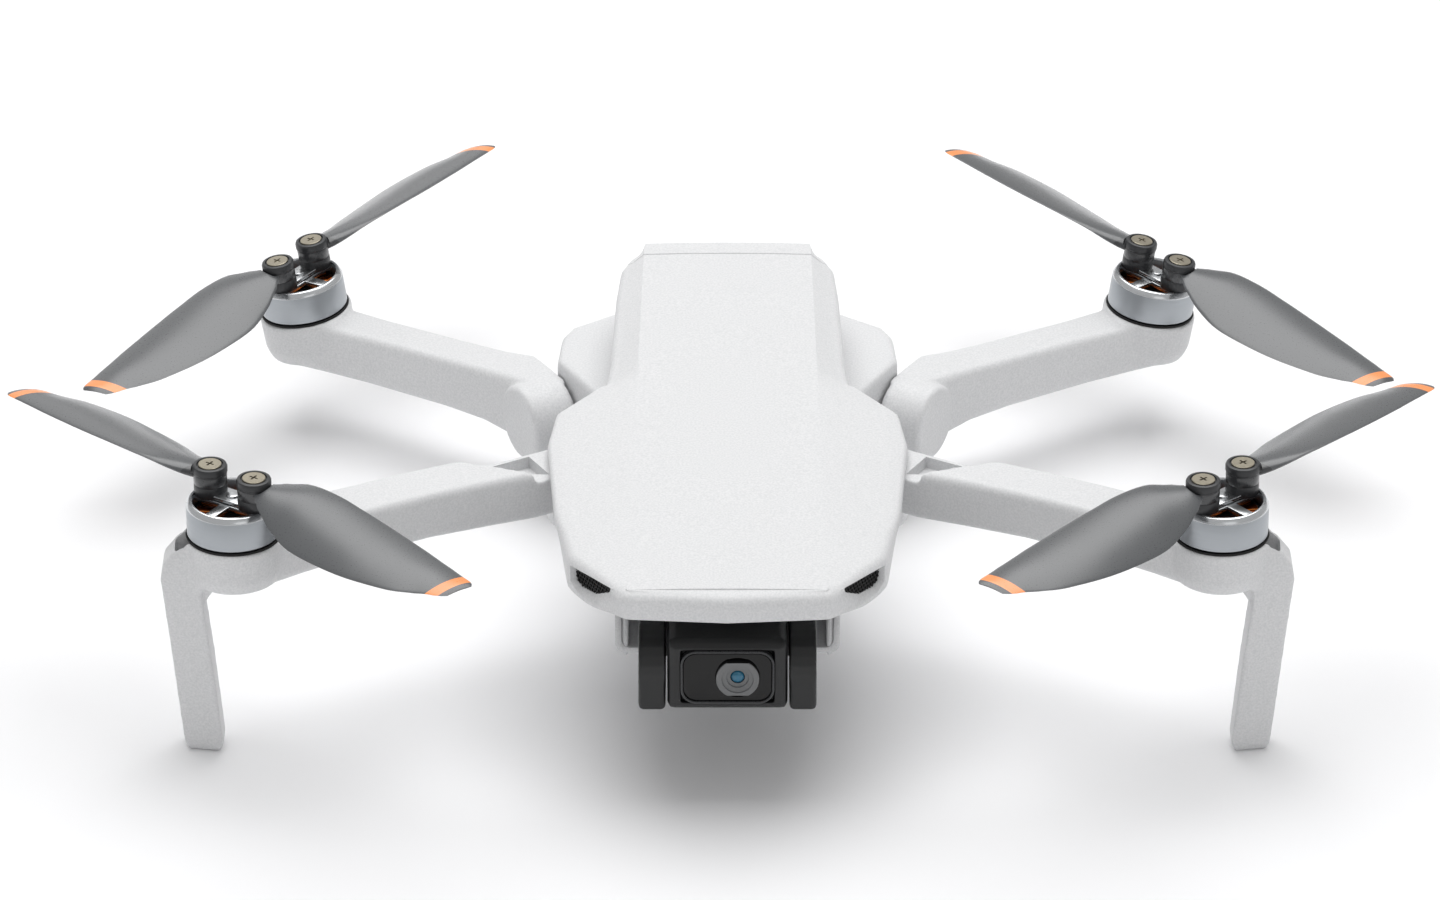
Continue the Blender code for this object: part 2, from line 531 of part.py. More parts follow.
for old in list(bpy.data.objects):
    bpy.data.objects.remove(old)
PARTS = bpy.data.collections.new("camera_drone")
bpy.context.scene.collection.children.link(PARTS)

shell_look = material("shell_grey", SHELL_GREY, 0.5)
make_top_shell(shell_look)
make_lower_shell(shell_look)
for side_sign, side_name in SIDES:
    make_front_arm(side_sign, f"front_{side_name}_arm", shell_look)
    make_rear_arm(side_sign, f"rear_{side_name}_arm", shell_look)
    pin_look = material("polished_steel", (0.6, 0.6, 0.6), 0.2, 1.0)
    front_pin = cylinder(1.5, 27.0, 40.2, through=FRONT_PIVOT, sides=20)
    finish(front_pin, f"front_{side_name}_hinge_pin", pin_look, FRONT_PIVOT, side_sign)
    rear_pin = cylinder(1.5, -5.5, 9.0, axis=rear_axis(), through=REAR_PIVOT, sides=20)
    finish(rear_pin, f"rear_{side_name}_hinge_pin", pin_look, REAR_PIVOT, side_sign)
    make_motor(f"front_{side_name}", FRONT_MOTOR, 0, -1, side_sign)
    make_motor(f"rear_{side_name}", REAR_MOTOR, REAR_LEAN_DEG, 1, side_sign)
make_gimbal()
make_insides()
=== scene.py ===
import json
import math
import bmesh
import bpy
from mathutils import Matrix, Vector


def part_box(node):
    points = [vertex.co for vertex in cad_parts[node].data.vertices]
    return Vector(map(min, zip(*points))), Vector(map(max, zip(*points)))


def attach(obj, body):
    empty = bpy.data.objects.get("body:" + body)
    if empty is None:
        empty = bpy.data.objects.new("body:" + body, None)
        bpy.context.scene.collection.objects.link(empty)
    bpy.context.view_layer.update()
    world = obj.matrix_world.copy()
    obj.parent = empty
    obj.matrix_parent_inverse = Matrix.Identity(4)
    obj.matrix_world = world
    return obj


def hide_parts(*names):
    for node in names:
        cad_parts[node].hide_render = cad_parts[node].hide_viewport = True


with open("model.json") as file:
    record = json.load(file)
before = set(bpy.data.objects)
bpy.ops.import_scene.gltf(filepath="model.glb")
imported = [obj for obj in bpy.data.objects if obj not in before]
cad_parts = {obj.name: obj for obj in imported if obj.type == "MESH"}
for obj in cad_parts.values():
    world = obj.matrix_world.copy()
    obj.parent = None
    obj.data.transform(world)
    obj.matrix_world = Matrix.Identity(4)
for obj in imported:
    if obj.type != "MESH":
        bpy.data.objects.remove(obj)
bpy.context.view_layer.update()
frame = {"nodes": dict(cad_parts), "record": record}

mm = 0.001                                        # shapes below are built in millimetres
sides = ((1, "left"), (-1, "right"))              # the drone's own left is +X
joints = {j["name"]: j for j in frame["record"]["behaviour"]["joints"]}


# shared helpers

def jointPoint(name):
    return Vector(joints[name]["pos_m"]) / mm


def jointAxis(name):
    return Vector(joints[name]["axis"]).normalized()


def upright(name):                                # the joint's axis, pointing up
    axis = jointAxis(name)
    return axis if axis.z > 0 else -axis


def linear(hexColour):                            # sRGB hex to the linear colour that shaders take
    parts = [int(hexColour[i:i + 2], 16) / 255 for i in (1, 3, 5)]
    return tuple(c / 12.92 if c <= 0.04045 else ((c + 0.055) / 1.055) ** 2.4 for c in parts) + (1.0,)


def addNode(tree, kind, values=None, links=None, **settings):
    node = tree.nodes.new(kind)
    for key, value in settings.items():
        setattr(node, key, value)
    for key, value in (values or {}).items():
        node.inputs[key].default_value = value
    for key, socket in (links or {}).items():
        tree.links.new(socket, node.inputs[key])
    return node


def newMaterial(name, hexColour, roughness, metallic=0.0, extra=None):
    made = bpy.data.materials.new(name)
    made.use_nodes = True
    shader = made.node_tree.nodes["Principled BSDF"]
    shader.inputs["Base Color"].default_value = linear(hexColour)
    shader.inputs["Roughness"].default_value = roughness
    shader.inputs["Metallic"].default_value = metallic
    for key, value in (extra or {}).items():
        shader.inputs[key].default_value = value
    return made, made.node_tree, shader


def objectPoint(tree, scale=(1, 1, 1)):           # Object coordinates, stretched along an axis if asked
    place = addNode(tree, "ShaderNodeTexCoord")
    return addNode(tree, "ShaderNodeMapping", {"Scale": scale},
                   {"Vector": place.outputs["Object"]}).outputs["Vector"]


def noiseOf(tree, featureMm, vector, detail=2.0):
    scale = 1 / (featureMm * mm)
    return addNode(tree, "ShaderNodeTexNoise", {"Scale": scale, "Detail": detail},
                   {"Vector": vector}).outputs["Fac"]


def bumpFrom(tree, shader, height, strength, depthMm):
    bump = addNode(tree, "ShaderNodeBump", {"Strength": strength, "Distance": depthMm * mm},
                   {"Height": height})
    tree.links.new(bump.outputs["Normal"], shader.inputs["Normal"])


noiseRange = (0.3, 0.7)                           # where nearly all of a noise pattern's values lie


def spread(tree, fac, low, high):                 # turns a 0..1 pattern into a small range of values
    values = {"From Min": noiseRange[0], "From Max": noiseRange[1], "To Min": low, "To Max": high}
    return addNode(tree, "ShaderNodeMapRange", values, {"Value": fac}).outputs["Result"]


def tint(tree, shader, fac, hexLow, hexHigh):
    colours = addNode(tree, "ShaderNodeValToRGB", links={"Fac": fac})
    for stop, (place, shade) in enumerate(zip(noiseRange, (hexLow, hexHigh))):
        colours.color_ramp.elements[stop].position = place
        colours.color_ramp.elements[stop].color = linear(shade)
    tree.links.new(colours.outputs["Color"], shader.inputs["Base Color"])


# materials

shellFinish = {"light": "#DFDFE0", "dark": "#CFD0D1", "roughness": 0.5, "grainMm": 0.38}


def mouldedShell():
    # PC/ABS moulded against a spark-eroded tool: pale grey, matt, with a fine even grain. The real grain is
    # about 0.1 mm, drawn coarser, at grainMm, so that it shows.
    made, tree, shader = newMaterial("mouldedPaleGreyShell", shellFinish["light"], shellFinish["roughness"],
                                     extra={"IOR": 1.55})
    point = objectPoint(tree)
    grain = noiseOf(tree, shellFinish["grainMm"], point, 3.0)
    tint(tree, shader, grain, shellFinish["dark"], shellFinish["light"])
    tree.links.new(spread(tree, grain, 0.46, 0.56), shader.inputs["Roughness"])
    bumpFrom(tree, shader, grain, 0.4, 0.07)
    return made


bladeFinish = {"grey": "#525456", "tip": "#F79650", "end": "#4A4B4D", "darkRoot": "#333436", "root": 0.058,
               "band": (0.94, 0.982), "roughness": 0.32}


def mouldedBlade():
    # glass-filled nylon, moulded: satin grey, with a pad-printed orange band near the tip. Attribute "span"
    # is 0 at the pivot and 1 at the tip.
    made, tree, shader = newMaterial("satinBladeNylon", bladeFinish["grey"], bladeFinish["roughness"],
                                     extra={"IOR": 1.53, "Coat Weight": 0.5, "Coat Roughness": 0.25})
    span = addNode(tree, "ShaderNodeAttribute", attribute_name="span")
    bands = addNode(tree, "ShaderNodeValToRGB", links={"Fac": span.outputs["Fac"]})
    bands.color_ramp.interpolation = "CONSTANT"
    stops = bands.color_ramp.elements
    # darker from the pivot out to the 'root' share of the span
    stops[0].color = linear(bladeFinish["darkRoot"])
    stops[1].position = bladeFinish["root"]
    stops[1].color = linear(bladeFinish["grey"])
    for place, key in ((bladeFinish["band"][0], "tip"), (bladeFinish["band"][1], "end")):
        stops.new(place).color = linear(bladeFinish[key])
    tree.links.new(bands.outputs["Color"], shader.inputs["Base Color"])
    fine = noiseOf(tree, 0.3, objectPoint(tree), 2.0)
    tree.links.new(spread(tree, fine, 0.26, 0.36), shader.inputs["Roughness"])
    bumpFrom(tree, shader, fine, 0.12, 0.03)
    return made


def turnedAluminium(name, hexColour, roughness):
    # 6061 turned on a lathe and bead-blasted: satin, with faint rings from the tool about 0.25 mm apart,
    # drawn by noise stretched across Z
    made, tree, shader = newMaterial(name, hexColour, roughness, 1.0)
    rings = noiseOf(tree, 0.5, objectPoint(tree, (0.05, 0.05, 2.0)), 2.0)
    tree.links.new(spread(tree, rings, roughness - 0.05, roughness + 0.07), shader.inputs["Roughness"])
    bumpFrom(tree, shader, rings, 0.15, 0.02)
    return made


def grainyPlastic(name, hexColour, roughness, grainMm, strength, extra=None):
    # moulded or coated parts: one even colour, broken up in gloss and height by its grain
    made, tree, shader = newMaterial(name, hexColour, roughness, extra=extra)
    grain = noiseOf(tree, grainMm, objectPoint(tree), 2.0)
    tree.links.new(spread(tree, grain, roughness - 0.05, roughness + 0.06), shader.inputs["Roughness"])
    bumpFrom(tree, shader, grain, strength, 0.03)
    return made


def woundCopper():
    # enamelled magnet wire, laid side by side round each tooth: red-brown bands, with painted shade as dark
    # lines in the grooves between wires
    wireMm = 0.35
    made, tree, shader = newMaterial("enamelledCopperWire", "#B5602C", 0.33, 1.0)
    point = addNode(tree, "ShaderNodeTexCoord").outputs["Object"]
    wires = addNode(tree, "ShaderNodeTexWave", {"Scale": 2 / (wireMm * mm * math.tau), "Distortion": 0.4},
                    {"Vector": point}, bands_direction="Z")
    # painted shade: each band is lighter on its raised crest and darker in the groove, following the same
    # pattern as the bump
    tint(tree, shader, wires.outputs["Fac"], "#7A3714", "#C87438")
    bumpFrom(tree, shader, wires.outputs["Fac"], 0.8, 0.12)
    return made


def plainMetal(name, hexColour, roughness):
    # plated, ground or cast metal: patches about 0.6 mm wide shine a little more or less
    made, tree, shader = newMaterial(name, hexColour, roughness, 1.0)
    wear = noiseOf(tree, 0.6, objectPoint(tree), 3.0)
    tree.links.new(spread(tree, wear, roughness - 0.06, roughness + 0.08), shader.inputs["Roughness"])
    return made


def coatedGlass():
    # the lens: dark, with painted reflection in its colour: teal where it faces the viewer, turning dark
    # blue towards the rim, in place of the green-blue sheen of an anti-reflection coating
    made, tree, shader = newMaterial("coatedLensGlass", "#10202C", 0.03,
                                     extra={"IOR": 1.6, "Coat Weight": 1.0,
                                     "Coat Roughness": 0.02, "Coat Tint": linear("#9FC4E0")})
    facing = addNode(tree, "ShaderNodeLayerWeight", {"Blend": 0.35})
    # painted reflection: the base colour follows the viewing angle, teal face-on and dark blue at grazing
    # angles
    tint(tree, shader, facing.outputs["Facing"], "#2B7F8C", "#141C38")
    return made


shellLook = mouldedShell()
bladeLook = mouldedBlade()
bellLook = turnedAluminium("satinTurnedAluminium", "#A6AAAE", 0.34)
rimLook = turnedAluminium("brightTurnedAluminium", "#D4D6D8", 0.22)
spokeLook = turnedAluminium("silverSpokes", "#C9CBCD", 0.25)
copperLook = woundCopper()
hubLook = grainyPlastic("blackNylonHub", "#2E2F31", 0.36, 0.3, 0.15)
screwLook = plainMetal("nickelPlatedSteel", "#A39C8C", 0.38)
steelLook = plainMetal("groundSteel", "#BFC1C4", 0.2)
gimbalLook = grainyPlastic("satinBlackAlloy", "#131415", 0.42, 0.25, 0.12)
windowLook = grainyPlastic("glossBlackAcrylic", "#030303", 0.1, 4.0, 0.02, {"IOR": 1.4})
frameLook = grainyPlastic("satinBlackFrame", "#303133", 0.3, 0.3, 0.05)
bezelLook = grainyPlastic("satinGreyBezel", "#6E6F70", 0.45, 0.4, 0.05)
lensLook = coatedGlass()
meshLook = grainyPlastic("blackFilterMesh", "#0A0A0B", 0.6, 0.3, 0.2)
# black of the stator, lens interior and fan, and painted shade in the gimbal bay and under the motor bells
blackAndShadeLook = grainyPlastic("matBlackAndPaintedShade", "#070708", 0.7, 0.5, 0.2)
boardLook = grainyPlastic("solderMask", "#0B3B2A", 0.35, 0.4, 0.2)
alloyLook = plainMetal("dieCastAlloy", "#B9BBBD", 0.42)
ceramicLook = grainyPlastic("glazedCeramic", "#CDBFA4", 0.4, 0.5, 0.1)
batteryLook = grainyPlastic("darkBatteryCase", "#2B2C2E", 0.5, 0.4, 0.25)
buttonLook = grainyPlastic("greyButton", "#8E9093", 0.45, 0.3, 0.2)
print("materials ready")


# mesh helpers

def temporary(bm, name="work"):
    mesh = bpy.data.meshes.new(name)
    bm.to_mesh(mesh)
    bm.free()
    made = bpy.data.objects.new(name, mesh)
    bpy.context.scene.collection.objects.link(made)
    return made


def evaluated(made):                              # the object's mesh with its modifiers, as a new bmesh
    bpy.context.view_layer.update()
    graph = bpy.context.evaluated_depsgraph_get()
    mesh = bpy.data.meshes.new_from_object(made.evaluated_get(graph))
    bm = bmesh.new()
    bm.from_mesh(mesh)
    bpy.data.meshes.remove(mesh)
    bpy.data.objects.remove(made)
    return bm


def outward(bm):
    bmesh.ops.remove_doubles(bm, verts=bm.verts, dist=1e-4)
    bmesh.ops.recalc_face_normals(bm, faces=bm.faces)
    return bm


def mirrored(bm):                                 # the other side's copy; the original is kept
    other = bm.copy()
    bmesh.ops.scale(other, vec=(-1, 1, 1), verts=other.verts)
    bmesh.ops.reverse_faces(other, faces=other.faces)
    return other


def merged(*parts):                               # several shapes in one bmesh, the parts used up
    mesh = bpy.data.meshes.new("join")
    whole = bmesh.new()
    for part in parts:
        part.to_mesh(mesh)
        part.free()
        whole.from_mesh(mesh)
    bpy.data.meshes.remove(mesh)
    return whole


def boolean(bm, tool, operation="DIFFERENCE"):
    base = temporary(bm)
    cutter = temporary(tool, "cutter")
    step = base.modifiers.new("step", "BOOLEAN")
    step.solver = "EXACT"
    step.operation = operation
    step.object = cutter
    result = evaluated(base)
    bpy.data.objects.remove(cutter)
    return result


def bevelled(bm, width, segments=3, angle=30):
    made = temporary(bm)
    step = made.modifiers.new("edges", "BEVEL")
    step.width = width
    step.segments = segments
    step.limit_method = "ANGLE"
    step.angle_limit = math.radians(angle)
    step.use_clamp_overlap = True
    return evaluated(made)


# one skin over overlapping solids, with softened edges and fillets
def moulded(bm, voxel, rounds, factor=0.5):
    made = temporary(bm)
    step = made.modifiers.new("skin", "REMESH")
    step.mode = "VOXEL"
    step.voxel_size = voxel
    step.adaptivity = 0
    soft = made.modifiers.new("soft", "SMOOTH")
    soft.factor = factor
    soft.iterations = rounds
    return evaluated(made)


def lathe(profile, segments=96, axis=(0, 0, 1), through=(0, 0, 0)):
    bm = bmesh.new()
    rings = []
    for step in range(segments):
        angle = math.tau * step / segments
        rings.append([bm.verts.new((r * math.cos(angle), r * math.sin(angle), z)) for r, z in profile])
    for step in range(segments):
        here, there = rings[step], rings[(step + 1) % segments]
        for k in range(len(profile)):
            n = (k + 1) % len(profile)
            bm.faces.new((here[k], there[k], there[n], here[n]))
    bmesh.ops.remove_doubles(bm, verts=bm.verts, dist=1e-4)
    turn = Vector((0, 0, 1)).rotation_difference(Vector(axis)).to_matrix().to_4x4()
    bmesh.ops.transform(bm, verts=bm.verts, matrix=Matrix.Translation(through) @ turn)
    bmesh.ops.recalc_face_normals(bm, faces=bm.faces)
    return bm


def disc(radius, low, high, edge=0.3, segments=64, **place):   # a solid round with softened rims
    profile = [(0, low), (radius - edge, low), (radius - edge * 0.3, low + edge * 0.3), (radius, low + edge),
               (radius, high - edge), (radius - edge * 0.3, high - edge * 0.3), (radius - edge, high),
               (0, high)]
    return lathe(profile, segments, **place)


def bore(radius, low, high, segments=96, **place):             # a plain round to cut a hole with
    return lathe([(0, low), (radius, low), (radius, high), (0, high)], segments, **place)


def block(x0, x1, y0, y1, z0, z1):
    bm = bmesh.new()
    size = Vector((x1 - x0, y1 - y0, z1 - z0))
    middle = Vector((x0 + x1, y0 + y1, z0 + z1)) / 2
    bmesh.ops.create_cube(bm, size=1, matrix=Matrix.Translation(middle) @ Matrix.Diagonal((*size, 1)))
    return bm


def skin(rings, closed=True, capped=True):
    bm = bmesh.new()
    levels = [[bm.verts.new(point) for point in ring] for ring in rings]
    count = len(levels[0])
    for lower, upper in zip(levels, levels[1:]):
        for i in range(count if closed else count - 1):
            n = (i + 1) % count
            bm.faces.new((lower[i], lower[n], upper[n], upper[i]))
    if capped:
        bm.faces.new(levels[0][::-1])
        bm.faces.new(levels[-1])
    return bm


def roundedPath(points, radii, steps=6):          # a polyline with its inner corners turned into arcs
    path = [Vector(points[0])]
    for before, corner, after, radius in zip(points, points[1:], points[2:], radii):
        before, corner, after = Vector(before), Vector(corner), Vector(after)
        inward, onward = (before - corner).normalized(), (after - corner).normalized()
        half = inward.angle(onward) / 2
        reach = min(radius / math.tan(half), 0.45 * (before - corner).length, 0.45 * (after - corner).length)
        start, end = corner + inward * reach, corner + onward * reach
        for k in range(steps + 1):
            t = k / steps
            path.append((1 - t) ** 2 * start + 2 * t * (1 - t) * corner + t ** 2 * end)
    path.append(Vector(points[-1]))
    return path


def resampled(path, spacing):
    lengths = [0.0]
    for a, b in zip(path, path[1:]):
        lengths.append(lengths[-1] + (b - a).length)
    count = max(2, round(lengths[-1] / spacing))
    result, k = [], 0
    for step in range(count + 1):
        want = lengths[-1] * step / count
        while k < len(path) - 2 and lengths[k + 1] < want:
            k += 1
        t = (want - lengths[k]) / max(lengths[k + 1] - lengths[k], 1e-9)
        result.append(path[k].lerp(path[k + 1], min(max(t, 0), 1)))
    return result


def ramp(value, low, high, start, end):           # smooth step between two values
    t = min(max((value - low) / (high - low), 0), 1)
    return start + (end - start) * t * t * (3 - 2 * t)


def roundedSection(halfWidth, low, high, radius, steps=5):   # ring of (across, height) points
    corners = ((halfWidth - radius, high - radius, 0), (radius - halfWidth, high - radius, 90),
               (radius - halfWidth, low + radius, 180), (halfWidth - radius, low + radius, 270))
    ring = []
    for x, z, start in corners:
        for k in range(steps + 1):
            angle = math.radians(start + 90 * k / steps)
            ring.append((x + radius * math.cos(angle), z + radius * math.sin(angle)))
    return ring


def cadCopy(node):
    bm = bmesh.new()
    bm.from_mesh(frame["nodes"][node].data)
    bmesh.ops.scale(bm, vec=(1 / mm,) * 3, verts=bm.verts)
    bmesh.ops.remove_doubles(bm, verts=bm.verts, dist=0.002)
    return bm


def addPiece(name, bm, looks, body, replaced=(), sharp=40):
    made = temporary(bm, name)
    mesh = made.data
    mesh.transform(Matrix.Scale(mm, 4))
    for look in looks if isinstance(looks, (list, tuple)) else [looks]:
        mesh.materials.append(look)
    mesh.shade_smooth()
    mesh.set_sharp_from_angle(angle=math.radians(sharp))
    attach(made, body)
    if replaced:
        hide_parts(*replaced)
    return made


# Geometry Nodes: what repeats

def newTree(name, inputs):
    tree = bpy.data.node_groups.new(name, "GeometryNodeTree")
    tree.interface.new_socket("Geometry", in_out="INPUT", socket_type="NodeSocketGeometry")
    for label, kind in dict(inputs, Material="Material").items():
        tree.interface.new_socket(label, in_out="INPUT", socket_type="NodeSocket" + kind)
    tree.interface.new_socket("Geometry", in_out="OUTPUT", socket_type="NodeSocketGeometry")
    return tree, addNode(tree, "NodeGroupInput").outputs, addNode(tree, "NodeGroupOutput")


def closeTree(tree, want, out, instances):
    real = addNode(tree, "GeometryNodeRealizeInstances", links={"Geometry": instances})
    painted = addNode(tree, "GeometryNodeSetMaterial", links={"Geometry": real.outputs[0],
                                                              "Material": want["Material"]})
    tree.links.new(painted.outputs[0], out.inputs[0])
    return tree


def ringTree():                                   # copies of one object spaced evenly round Z
    tree, want, out = newTree("ringOfCopies", {"Source": "Object", "Count": "Int", "Radius": "Float"})
    circle = addNode(tree, "GeometryNodeMeshCircle", links={"Vertices": want["Count"],
                                                            "Radius": want["Radius"]})
    source = addNode(tree, "GeometryNodeObjectInfo", links={"Object": want["Source"]})
    index = addNode(tree, "GeometryNodeInputIndex")
    part = addNode(tree, "ShaderNodeMath", {1: math.tau}, {0: index.outputs[0]}, operation="MULTIPLY")
    share = addNode(tree, "ShaderNodeMath", links={0: part.outputs[0], 1: want["Count"]}, operation="DIVIDE")
    turn = addNode(tree, "ShaderNodeCombineXYZ", links={"Z": share.outputs[0]})
    copies = addNode(tree, "GeometryNodeInstanceOnPoints",
                     links={"Points": circle.outputs[0], "Instance": source.outputs["Geometry"],
                            "Rotation": turn.outputs[0]})
    return closeTree(tree, want, out, copies.outputs[0])


def lineTree():                                   # copies of one object along X, centred, a spacing apart
    tree, want, out = newTree("lineOfCopies", {"Source": "Object", "Count": "Int", "Spacing": "Float"})
    less = addNode(tree, "ShaderNodeMath", {1: 1.0}, {0: want["Count"]}, operation="SUBTRACT")
    reach = addNode(tree, "ShaderNodeMath", links={0: less.outputs[0], 1: want["Spacing"]},
                    operation="MULTIPLY")
    back = addNode(tree, "ShaderNodeMath", {1: -0.5}, {0: reach.outputs[0]}, operation="MULTIPLY")
    start = addNode(tree, "ShaderNodeCombineXYZ", links={"X": back.outputs[0]})
    stride = addNode(tree, "ShaderNodeCombineXYZ", links={"X": want["Spacing"]})
    line = addNode(tree, "GeometryNodeMeshLine", links={"Count": want["Count"],
                                                        "Start Location": start.outputs[0],
                                                        "Offset": stride.outputs[0]})
    source = addNode(tree, "GeometryNodeObjectInfo", links={"Object": want["Source"]})
    copies = addNode(tree, "GeometryNodeInstanceOnPoints",
                     links={"Points": line.outputs[0], "Instance": source.outputs["Geometry"]})
    return closeTree(tree, want, out, copies.outputs[0])


def honeycombTree():                              # a sheet of cells in staggered rows
    tree, want, out = newTree("honeycomb", {"Source": "Object", "Columns": "Int", "Rows": "Int",
                                            "Pitch": "Float"})
    rowPitch = addNode(tree, "ShaderNodeMath", {1: math.sqrt(3) / 2}, {0: want["Pitch"]},
                       operation="MULTIPLY")
    wide = addNode(tree, "ShaderNodeMath", {1: 1.0}, {0: want["Columns"]}, operation="SUBTRACT")
    tall = addNode(tree, "ShaderNodeMath", {1: 1.0}, {0: want["Rows"]}, operation="SUBTRACT")
    width = addNode(tree, "ShaderNodeMath", links={0: wide.outputs[0], 1: want["Pitch"]},
                    operation="MULTIPLY")
    height = addNode(tree, "ShaderNodeMath", links={0: tall.outputs[0], 1: rowPitch.outputs[0]},
                     operation="MULTIPLY")
    sheet = addNode(tree, "GeometryNodeMeshGrid", links={"Size X": width.outputs[0],
                                                         "Size Y": height.outputs[0],
                                                         "Vertices X": want["Columns"],
                                                         "Vertices Y": want["Rows"]})
    index = addNode(tree, "GeometryNodeInputIndex")
    row = addNode(tree, "ShaderNodeMath", links={0: index.outputs[0], 1: want["Rows"]}, operation="MODULO")
    odd = addNode(tree, "ShaderNodeMath", {1: 2.0}, {0: row.outputs[0]}, operation="MODULO")
    half = addNode(tree, "ShaderNodeMath", {1: 0.5}, {0: want["Pitch"]}, operation="MULTIPLY")
    shift = addNode(tree, "ShaderNodeMath", links={0: odd.outputs[0], 1: half.outputs[0]},
                    operation="MULTIPLY")
    offset = addNode(tree, "ShaderNodeCombineXYZ", links={"X": shift.outputs[0]})
    staggered = addNode(tree, "GeometryNodeSetPosition", links={"Geometry": sheet.outputs[0],
                                                                "Offset": offset.outputs[0]})
    source = addNode(tree, "GeometryNodeObjectInfo", links={"Object": want["Source"]})
    copies = addNode(tree, "GeometryNodeInstanceOnPoints",
                     links={"Points": staggered.outputs[0], "Instance": source.outputs["Geometry"]})
    return closeTree(tree, want, out, copies.outputs[0])


# runs a tree on one source shape and gives back a plain bmesh
def repeated(tree, source, settings, look):
    shape = temporary(source, "source")
    holder = temporary(bmesh.new(), "holder")
    step = holder.modifiers.new("repeat", "NODES")
    step.node_group = tree
    values = dict(settings, Source=shape, Material=look)
    for item in tree.interface.items_tree:
        if item.item_type == "SOCKET" and item.in_out == "INPUT" and item.name in values:
            step[item.identifier] = values[item.name]
    result = evaluated(holder)
    bpy.data.objects.remove(shape)
    return result


ringOfCopies = ringTree()
lineOfCopies = lineTree()
honeycomb = honeycombTree()


# top shell

# outline: the right half seen from above, from the nose to the tail; corners: the radius at each inner point
hood = {"outline": [(0, -88), (18.4, -86.6), (28.5, -71.5), (31.2, -54.6), (33, -27.6), (31.6, -15.6),
                    (22.7, -3.4), (22, 4), (21.2, 33.4), (20.3, 46.4), (16.3, 52.4), (0, 53.8)],
        "corners": [3.0, 4.5, 20, 14, 2.6, 4, 30, 60, 30, 2], "edgeRadius": 2.0, "wall": 1.4,
        "strip": 17.8, "crown": 0.25, "doorLineY": 46.4, "spacing": 1.1}


def hoodEdgeHeight(y):
    return ramp(y, -86, -40, 43.6, 42.5) - ramp(y, -20, 50, 0, 0.2)


def hoodStripHeight(y):
    return ramp(y, -86, -40, 43.9, 45.1) - ramp(y, -10, 53, 0, 0.9)


def hoodLowerEdge(y):
    if y < -30:
        return ramp(y, -87, -76, 38.6, 36.2) if y < -75 else ramp(y, -75, -58, 36.2, 40.75)
    return ramp(y, -4.7, -2.6, 40.75, 29.3)


def hoodPath():
    path = resampled(roundedPath(hood["outline"], hood["corners"]), hood["spacing"])
    line = hood["doorLineY"]
    path = [p for p in path if not (p.x > 10 and abs(p.y - line) < 1.2)]
    where = next(i for i, p in enumerate(path) if p.x > 10 and p.y > line)
    a, b = path[where - 1], path[where]
    extra = [a.lerp(b, (line + d - a.y) / (b.y - a.y)) for d in (-0.5, -0.22, -0.1, 0.1, 0.22, 0.5)]
    return path[:where] + extra + path[where:]


# fills the flat strip inside the last points of the columns
def hoodStrip(bm, rim):
    bm.verts.ensure_lookup_table()
    perColumn = len(bm.verts) // len(rim)
    ends = [bm.verts[perColumn * (i + 1) - 1] for i in range(len(rim))]
    front = [v for v in ends if v.co.y < rim[0].y + 1e-3]
    corner = front[-1].co.x
    rear = [v for v in ends if v.co.y > rim[-1].y - 1e-3]
    side = ends[len(front):len(ends) - len(rear)]
    shares = [v.co.x / corner for v in front]
    for vert, share in list(zip(front, shares)) + [(v, v.co.x / rear[0].co.x) for v in rear]:
        vert.co.z += hood["crown"] * (1 - share * share)
    row = front
    for vert in side:
        spot = vert.co
        onward = [bm.verts.new((spot.x * f, spot.y, spot.z + hood["crown"] * (1 - f * f)))
                  for f in shares[:-1]] + [vert]
        for k in range(len(row) - 1):
            bm.faces.new((row[k], row[k + 1], onward[k + 1], onward[k]))
        row = onward
    last = bm.faces.new(list(row) + list(rear))
    bmesh.ops.triangulate(bm, faces=[last])


